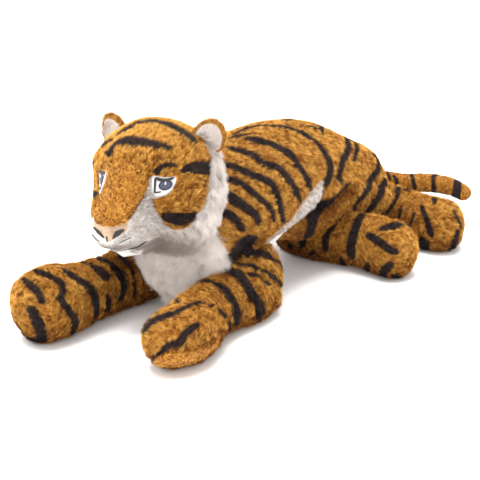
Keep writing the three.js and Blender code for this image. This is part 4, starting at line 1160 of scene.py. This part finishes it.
def head_piece():
    Q, tris, P = HEAD_Q, HEAD_TRIS, HEAD_P
    white, nose = head_regions(Q)
    beyond = (Q[:, 0] < 0) & (Q[:, 1] < -20)
    outside = poly_distance(np.stack([41 + (-Q[:, 0] - 18.7) / 1.1, (Q[:, 2] - 5.2) / 1.08], 1), EYE_PATCH)
    white = np.where(beyond, np.maximum(white, np.minimum(outside, (Q[:, 2] - 7) * 1.2)), white)
    runs = RUNS["head"]
    # the far cheek and the back of the head repeat the near side
    both = []
    for q, hw in runs:
        ql = to_head(q)
        if (ql[:, 0] > 30).all():
            if ql[:, 0].mean() < 60 and ql[:, 2].mean() > 30:
                continue
            both.append((from_head(ql * [-1, 1, 1] + [0, 0, 25.0 if ql[:, 2].mean() < -5 else 0]), hw))
    for y0, z0, span in ((52, 66, 56), (74, 36, 62), (84, 2, 50)):
        xs = np.linspace(-span, span, 30)
        dirs = np.stack([xs, np.full(30, float(y0)) + 12 - HEART[1], np.full(30, float(z0)) - HEART[2] - np.abs(xs) * 0.25], 1)
        dirs /= np.linalg.norm(dirs, axis=1)[:, None]
        q = HEART + dirs * head_radius(dirs)[:, None]
        both.append((from_head(q), 3.2 * np.clip(1.15 - np.abs(xs) / span, 0.15, 1)))
    stripe = stripe_field(P, runs + both)
    N = normals(P, tris)
    far = Q[:, 0] < 0
    xz = np.stack([np.where(far, 41 + (-Q[:, 0] - 18.7) / 1.1, Q[:, 0]), np.where(far, (Q[:, 2] - 5.2) / 1.08, Q[:, 2])], 1)
    eye = np.where(Q[:, 1] < -30, poly_distance(xz, EYE_PATCH), 40)
    xz = np.stack([np.abs(Q[:, 0]), Q[:, 2]], 1)
    clear = np.clip(eye / 7, 0, 1)
    seam = -1.6 * np.exp(-((white / 2.6) ** 2)) * np.clip(eye / 4, 0, 1)
    muzzle = np.clip((-70 - Q[:, 1]) / 15, 0, 1)
    uv = seen_at(P)
    furrow = sum(a * np.exp(-((poly_distance(uv, line, closed=False) / 3.0) ** 2)) for line, a in zip(CREASES, (2.2, 1.6, 1.2))) * smooth(N @ BACK, 0.0, 0.12)
    disp = (fbm(P, 46, 61, 3) * 1.6 + seam - furrow) * np.clip(0.15 + eye / 14, 0, 1)
    Pd = P + N * disp[:, None]
    N2 = normals(Pd, tris)
    tuft_h = np.where(white < 0, 1.0, 0.8) * (1 - 0.7 * muzzle) * clear
    d, _, _, own = cells(Pd, 4.2, 71)
    Pd = Pd + N2 * (tuft_h * (0.4 + 0.6 * own) * np.clip(1 - (d / 3.0) ** 2, 0, 1))[:, None]
    attrs = {"stripe": stripe, "white": white, "nose": nose}
    # painted shade on the skin: the muzzle's near side and the underside of the chin
    dim = (white < 0) * (0.3 * smooth(-Q[:, 1], 60, 84) * smooth(Q[:, 0], -8, 10) + 0.26 * smooth(-Q[:, 2], 46, 60) * smooth(-Q[:, 1], 30, 50))
    o = make_mesh("head_plush", Pd, tris, SKIN, dict(attrs, dim=dim))
    # combed from the nose back over the face, down on the ruff
    away = Q - np.array([0, -118, -22.0])
    comb = away / np.linalg.norm(away, axis=1)[:, None]
    comb = comb @ HEAD_R.T
    ruff = np.clip(-white / 6, 0, 1) * np.clip((Q[:, 1] + 74) / 18, 0, 1)
    jit = np.stack([noise(P, 24, 81), noise(P, 24, 82), noise(P, 24, 83)], 1)
    comb = comb * (1 - 0.75 * ruff)[:, None] + np.array([0, 0, -1.0]) * ruff[:, None] + jit * 0.35
    length = 6.2 + 8.0 * ruff - 2.8 * muzzle
    length = np.where(nose < 0.5, 1.8, length)
    length *= np.clip(0.45 + eye / 9, 0, 1)
    length += 4.5 * smooth(-Q[:, 2], 56, 66) * (Q[:, 1] < -30)
    uv, facing = seen_at(P), smooth(N @ BACK, 0.0, 0.12)
    crease = sum(a * np.exp(-((poly_distance(uv, line, closed=False) / wide) ** 2)) for line, wide, a in zip(CREASES, (3.0, 4.0, 2.0), (1.0, 0.55, 0.8))) * facing
    # shade is painted shade and light for the pile: darker on the undersides, in the creases, on the muzzle's near
    # side, under the chin, on the bridge toward the nose and along the top edge of the nose patch; painted light on the
    # top of the crown; the white fur behind the muzzle tip and the lower cheek side are also made darker
    shade = 0.25 * smooth(-N[:, 2], 0.1, 0.8) + 0.38 * crease
    shade = shade + 0.4 * smooth(-Q[:, 1], 60, 84) * smooth(Q[:, 0], -8, 10) * (white < 0)
    shade = shade + 0.3 * smooth(-Q[:, 2], 46, 60) * smooth(-Q[:, 1], 30, 50) * (white < 0)
    shade = shade + 0.22 * (white < 0) * (1 - smooth(-Q[:, 1], 60, 84))
    shade = shade - 0.22 * smooth(Q[:, 2], 50, 74) * (white > 0) + 0.1 * smooth(Q[:, 0], 40, 58) * (1 - smooth(Q[:, 2], 20, 40)) * (white > 0)
    shade = shade + 0.1 * smooth(-Q[:, 1], 60, 90) * (white > 0) + 0.35 * np.exp(-((white / 3.0) ** 2)) * smooth(-Q[:, 1], 84, 96) * (white > 0)
    mouth = [MOUTH, LIP, [[abs(a), b] for a, b in PHILTRUM], NOSTRIL]
    near = np.full(len(Q), 40.0)
    for line in mouth:
        near = np.minimum(near, np.where(Q[:, 1] < -40, poly_distance(xz, line, closed=False), 40))
    length *= np.clip(0.25 + near / 8, 0, 1)
    density = np.where(eye < 0.8, 0.0, 1.5) * np.where(near < 1.5, 0.0, 1.0) * (1 - 0.5 * smooth(-(N @ BACK), 0.3, 0.6))
    pile("head_pile", "head", Pd, tris, N2, comb, length, density * (1 - ruff), attrs, 201, clump=3.0, lean=0.8, wild=0.34, loose=0.2, runs=runs + both, base=P, dark=shade, vary=np.where(white < 0, 0.4, 1.1))
    pile("ruff_pile", "head", Pd, tris, N2, comb, length, density * ruff * 1.1, attrs, 202, clump=5.5, pull=0.75, wild=0.7, width=0.14, droop=0.3, runs=runs + both, base=P, dark=shade, vary=np.full(len(P), 0.6))
    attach(o, "head")
    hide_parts("head_crown_panel", "cheek_patch_left", "cheek_patch_right", "face_ruff_panel", "muzzle_panel", "nose_patch")
    return o


def face_y(x, z):
    """Where the face's skin lies for points of the front view."""
    x, z = np.asarray(x, float), np.asarray(z, float)
    y = np.full(x.shape, -150.0)
    go = np.ones(x.shape, bool)
    for _ in range(75):
        f = head_form(np.stack([x, y, z], -1))
        go &= f > 0
        y[go] += 2
    lo, hi = y - 2, y.copy()
    for _ in range(14):
        m = (lo + hi) / 2
        f = head_form(np.stack([x, m, z], -1)) > 0
        lo, hi = np.where(f, m, lo), np.where(f, hi, m)
    return hi


def on_face(x, z, lift):
    q = np.stack([x, face_y(x, z), z], -1)
    return q + head_normal(q) * np.asarray(lift)[..., None]


def close(q, tris):
    v = q[tris]
    if (np.cross(v[:, 0], v[:, 1]) * v[:, 2]).sum() < 0:
        tris = tris[:, ::-1].copy()
    return tris


def patch(name, outline, lift, height, material, replaces=(), rings=14):
    """An embroidered patch: a raised, closed pad over the outline."""
    o = np.array(outline, float)
    c = o.mean(0)
    seg = np.linalg.norm(np.roll(o, -1, 0) - o, axis=1)
    pts = []
    for i, s in enumerate(seg):
        n = max(1, int(s / 0.9))
        for k in range(n):
            pts.append(o[i] + (o[(i + 1) % len(o)] - o[i]) * k / n)
    pts = np.array(pts)
    for _ in range(3):
        pts = 0.5 * pts + 0.25 * (np.roll(pts, 1, 0) + np.roll(pts, -1, 0))
    m = len(pts)
    V = []
    fr = np.sin(np.linspace(0, math.pi / 2, rings + 1)[1:])
    for f in fr:
        xy = c + (pts - c) * f
        h = lift + height * min(1.0, math.sqrt(max(0.0, 1 - f**6)) + 0.0)
        V.append(on_face(xy[:, 0], xy[:, 1], np.full(m, h)))
    V.append(on_face(pts[:, 0], pts[:, 1], np.full(m, -0.8)))
    top = on_face(c[:1], c[1:2], np.array([lift + height]))
    bot = on_face(c[:1], c[1:2], np.array([-0.8]))
    P = np.concatenate(V + [top, bot])
    k = np.arange(m)
    nx = (k + 1) % m
    tris = [np.stack([np.full(m, len(P) - 2), k, nx], 1)]
    for r in range(rings):
        a, b = r * m, (r + 1) * m
        tris += [np.stack([a + k, b + k, b + nx], 1), np.stack([a + k, b + nx, a + nx], 1)]
    tris.append(np.stack([np.full(m, len(P) - 1), rings * m + nx, rings * m + k], 1))
    tris = np.concatenate(tris)
    P = from_head(P)
    tris = close(P, tris)
    ob = make_mesh(name, P, tris, material)
    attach(ob, "head")
    if replaces:
        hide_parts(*replaces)
    return ob


def stitch(name, points, widths, lift, height, material, replaces=(), dashes=None):
    """A line of embroidery along points of the front view."""
    line, w = dense(points, widths, 0.45)
    if dashes:
        s = np.r_[0, np.cumsum(np.linalg.norm(np.diff(line, axis=0), axis=1))]
        w = w * np.where((s % dashes[0]) < dashes[1], 1.0, 0.35)
    t = np.gradient(line, axis=0)
    t /= np.linalg.norm(t, axis=1)[:, None]
    side = np.stack([-t[:, 1], t[:, 0]], 1)
    ring = 10
    V = []
    for k in range(ring):
        a = 2 * math.pi * k / ring
        off = np.cos(a) * w / 2
        h = lift + height * np.sin(a) if np.sin(a) > 0 else lift + 0.5 * height * np.sin(a) - 0.6
        xy = line + side * off[:, None]
        V.append(on_face(xy[:, 0], xy[:, 1], np.full(len(line), h)))
    G = np.stack(V, 1)
    n = len(line)
    P = np.concatenate([G.reshape(-1, 3), G[:1].mean(1), G[-1:].mean(1)])
    i, j = np.meshgrid(np.arange(n - 1), np.arange(ring), indexing="ij")
    a = (i * ring + j).ravel()
    b = (i * ring + (j + 1) % ring).ravel()
    tris = np.concatenate([np.stack([a, a + ring, b + ring], 1), np.stack([a, b + ring, b], 1)])
    k = np.arange(ring)
    tris = np.concatenate([tris, np.stack([np.full(ring, n * ring), k, (k + 1) % ring], 1), np.stack([np.full(ring, n * ring + 1), (n - 1) * ring + (k + 1) % ring, (n - 1) * ring + k], 1)])
    P = from_head(P)
    tris = close(P, tris)
    ob = make_mesh(name, P, tris, material)
    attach(ob, "head")
    if replaces:
        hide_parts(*replaces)
    return ob


def face_pieces():
    for side, s in (("left", 1), ("right", -1)):
        f = lambda pts: [[x * s, z] for x, z in pts]
        e = lambda pts: [[x, z] if s > 0 else list(far_eye(x, z)) for x, z in pts]
        ix, iz, up = (54.2, 21.4, 0.0) if s > 0 else (52.0, 23.8, 1.6)
        ring = lambda x, z, rx, rz, top, n: [[x + rx * math.cos(a), min(z + rz * math.sin(a), top)] for a in np.linspace(0, 2 * math.pi, n, endpoint=False)]
        patch(f"eye_white_{side}_pad", e(EYE_PATCH), 0.2, 1.1, EYE_WHITE, [f"eye_white_{side}"])
        patch(f"iris_{side}_rim", e(ring(ix, iz, 7.5, 6.9, 27.2 + up, 40)), 0.9, 1.1, IRIS_RIM, [f"iris_{side}"])
        patch(f"iris_{side}_disc", e(ring(ix, iz + 0.2, 5.5, 5.0, 26.4 + up, 36)), 1.6, 0.9, IRIS_BLUE)
        patch(f"eye_{side}_glint", e(ring(ix - 0.3, iz + 2.2, 0.8, 2.2, 40, 20)), 2.3, 0.5, GLINT)
        stitch(f"lid_{side}_top", e([[43.0, 32.2], [47, 30.0 + up / 2], [51, 28.0 + up], [55.5, 27.6 + up], [62.2, 29.2]]), (2.8, 4.6, 3.0), 1.5, 1.1, BLACK_THREAD, [f"lid_outline_{side}"])
        stitch(f"lid_{side}_inner", e([[43.9, 31.5], [43.8, 24.5], [43.4, 15.2], [43.9, 13.8], [46.7, 13.6], [49.8, 13.8]]), (2.8, 2.1, 2.0) if s > 0 else (1.6, 0.7, 0.7), 1.3, 0.7, BLACK_THREAD)
        wide = (1.8, 7.4, 3.0) if s > 0 else (1.6, 5.4, 2.0)
        stitch(f"nostril_{side}_satin", f(NOSTRIL), wide, 0.4, 1.0, BLACK_THREAD, [f"nostril_{side}"])
        thin = 1.0 if s > 0 else 0.55
        stitch(f"mouth_{side}_line", f(MOUTH), (1.2 * thin, 1.7 * thin, 1.3 * thin), 1.7, 0.9, BLACK_THREAD, [f"mouth_stitch_{side}"])
        stitch(f"lip_{side}_line", f(LIP), (1.0 * thin, 1.5 * thin, 1.2 * thin), 1.7, 0.8, BLACK_THREAD, [f"lip_stitch_{side}"], dashes=(3.4, 2.2))
    stitch("philtrum_line", PHILTRUM, (1.3, 1.3, 0.9), 0.9, 0.8, BLACK_THREAD, ["philtrum_stitch"])


# ------------------------------------------------------------------ ears
def ear_piece(side, s):
    base = np.array([77.0, 18, 64.0]) if s > 0 else np.array([-72.0, 18, 68.0])
    R = turn_about("y", s * (30 if s > 0 else 26)) @ turn_about("z", s * 14)
    n_r, n_a = 34, 96
    a = np.linspace(0, 2 * math.pi, n_a, endpoint=False)
    rows, front = [], []
    rr = np.sin(np.linspace(0, math.pi / 2, n_r))[1:]
    W, Hh = (21.0, 28.0) if s > 0 else (22.5, 26.5)
    # a cupped leaf: the back bulges, the front is hollow, the rim is round
    for r in rr:
        rows.append(np.stack([W * r * np.cos(a), np.full(n_a, 9.5 * math.sqrt(max(0, 1 - r * r))), Hh * r * np.sin(a)], 1))
    rim = [np.stack([(W - 1.0) * np.cos(a), np.full(n_a, -2.0), (Hh - 1.0) * np.sin(a)], 1),
           np.stack([(W - 2.0) * np.cos(a), np.full(n_a, -2.8), (Hh - 3.0) * np.sin(a)], 1)]
    inner = []
    for r in rr[::-1]:
        w2, h2 = W - 3.0, Hh - 4.4
        inner.append(np.stack([w2 * r * np.cos(a), np.full(n_a, -2.2 + 7.6 * math.sqrt(max(0, 1 - r * r))), h2 * r * np.sin(a)], 1))
    G = rows + rim + inner
    top = np.array([[0, 9.5, 0.0]])
    bot = np.array([[0, 5.4, 0.0]])
    m = len(G)
    V = np.concatenate(G + [top, bot])
    k = np.arange(n_a)
    nx = (k + 1) % n_a
    tris = [np.stack([np.full(n_a, len(V) - 2), k, nx], 1)]
    for i in range(m - 1):
        p, q = i * n_a, (i + 1) * n_a
        tris += [np.stack([p + k, q + k, q + nx], 1), np.stack([p + k, q + nx, p + nx], 1)]
    tris.append(np.stack([np.full(n_a, len(V) - 1), (m - 1) * n_a + nx, (m - 1) * n_a + k], 1))
    tris = np.concatenate(tris)
    is_in = np.r_[np.zeros(len(rows) * n_a), np.full(n_a, 0.05), np.full(n_a, 0.3), np.ones(len(inner) * n_a), 0, 1]
    # the lower edge narrows to the seam and the sides curl forward
    z = V[:, 2]
    squeeze = 1 - 0.6 * np.clip((-z - 2) / 25, 0, 1)
    V[:, 0] *= squeeze
    V[:, 1] -= 0.009 * V[:, 0] ** 2 * np.clip(0.4 - z / 60, 0, 1.2)
    # painted shade for the ear's hollow
    hollow = np.exp(-((V[:, 0] * s + 7) ** 2 + (z + 1) ** 2) / 70.0) * (is_in > 0.9)
    Q = V @ R.T + base
    P = from_head(Q)
    tris = close(P, tris)
    N = normals(P, tris)
    P = P + N * (fbm(P, 14, 91, 2) * 0.7)[:, None]
    N = normals(P, tris)
    white = (0.5 - is_in) * 8
    far = np.full(len(P), 20.0)
    attrs = {"stripe": far, "white": white, "nose": far}
    o = make_mesh(f"ear_{side}_plush", P, tris, SKIN, attrs)
    out = from_head(base + R @ np.array([0, 0, 60.0])) - from_head(base)
    comb = (P - from_head(base + R @ np.array([0, 0, -20.0])))
    comb = comb / np.linalg.norm(comb, axis=1)[:, None] + out / np.linalg.norm(out) * 0.4
    length = np.where(is_in > 0.9, 4.2, 6.2) + np.where((is_in < 0.9) & (is_in > 0.01), 1.6, 0)
    # the pile's dark: painted shade in the hollow, painted light (negative) over the inner ear
    pile(f"ear_{side}_pile", f"ear_{side}", P, tris, N, comb, length, np.full(len(P), 1.5), attrs, 300 + (1 if s > 0 else 2), clump=2.8, lean=0.5, dark=0.7 * hollow - 0.3 * (is_in > 0.9), vary=np.where(is_in > 0.9, 0.5, 1.0))
    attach(o, f"ear_{side}")
    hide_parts(f"ear_back_{side}", f"ear_inner_{side}")
    return o


body_piece()
for k, nm in enumerate(LIMBS):
    limb_piece(nm, 120 + 10 * k)
head_piece()
face_pieces()
ear_piece("left", 1)
ear_piece("right", -1)

for nm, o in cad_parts.items():
    if nm.endswith("stuffing"):
        o.data.materials.clear()
        o.data.materials.append(FIBRE)


# ------------------------------------------------------------------ floor, light
def floor_material():
    m, nt = new_material("studio_floor")
    tex = node(nt, "ShaderNodeTexCoord").outputs["Object"]
    nz = node(nt, "ShaderNodeTexNoise", in_Scale=3.0, in_Detail=2.0)
    nt.links.new(tex, nz.inputs["Vector"])
    col = ramp(nt, nz.outputs[0], [(0.3, (0.935, 0.935, 0.93)), (0.7, (0.955, 0.955, 0.95))])
    b = node(nt, "ShaderNodeBsdfPrincipled", in_Roughness=0.9)
    nt.links.new(col, b.inputs["Base Color"])
    out = node(nt, "ShaderNodeOutputMaterial")
    nt.links.new(b.outputs[0], out.inputs[0])
    return m


me = bpy.data.meshes.new("floor")
me.from_pydata([(-6, -6, 0), (6, -6, 0), (6, 6, 0), (-6, 6, 0)], [], [(0, 1, 2, 3)])
floor = bpy.data.objects.new("floor", me)
floor.location.z = -0.0004
me.materials.append(floor_material())
bpy.context.scene.collection.objects.link(floor)


def light(name, loc, size, power, colour=(1, 1, 1), at=(0, 0, 0.1)):
    d = bpy.data.lights.new(name, "AREA")
    d.shape = "SQUARE"
    d.size = size
    d.energy = power
    d.color = colour
    o = bpy.data.objects.new(name, d)
    o.location = loc
    o.rotation_mode = "QUATERNION"
    o.rotation_quaternion = (Vector(at) - Vector(loc)).to_track_quat("-Z", "Y")
    bpy.context.scene.collection.objects.link(o)
    return o


light("key", (-1.5, -1.0, 1.5), 0.9, 10, (1.0, 0.985, 0.96))
light("fill", (0.4, -2.0, 0.2), 1.2, 8.5, (1.0, 0.965, 0.94))
sky = bpy.data.lights.new("sky_panel", "SUN")
sky.energy, sky.angle = 5.0, math.radians(42)
sky_o = bpy.data.objects.new("sky_panel", sky)
sky_o.rotation_mode = "QUATERNION"
sky_o.rotation_quaternion = Vector((0.14, -0.03, -1.0)).to_track_quat("-Z", "Y")
bpy.context.scene.collection.objects.link(sky_o)
world = bpy.data.worlds.new("studio")
bpy.context.scene.world = world
world.use_nodes = True
bg = world.node_tree.nodes["Background"]
bg.inputs[0].default_value = (1, 1, 1, 1)
bg.inputs[1].default_value = 1.2
bpy.context.scene.view_settings.view_transform = "Standard"
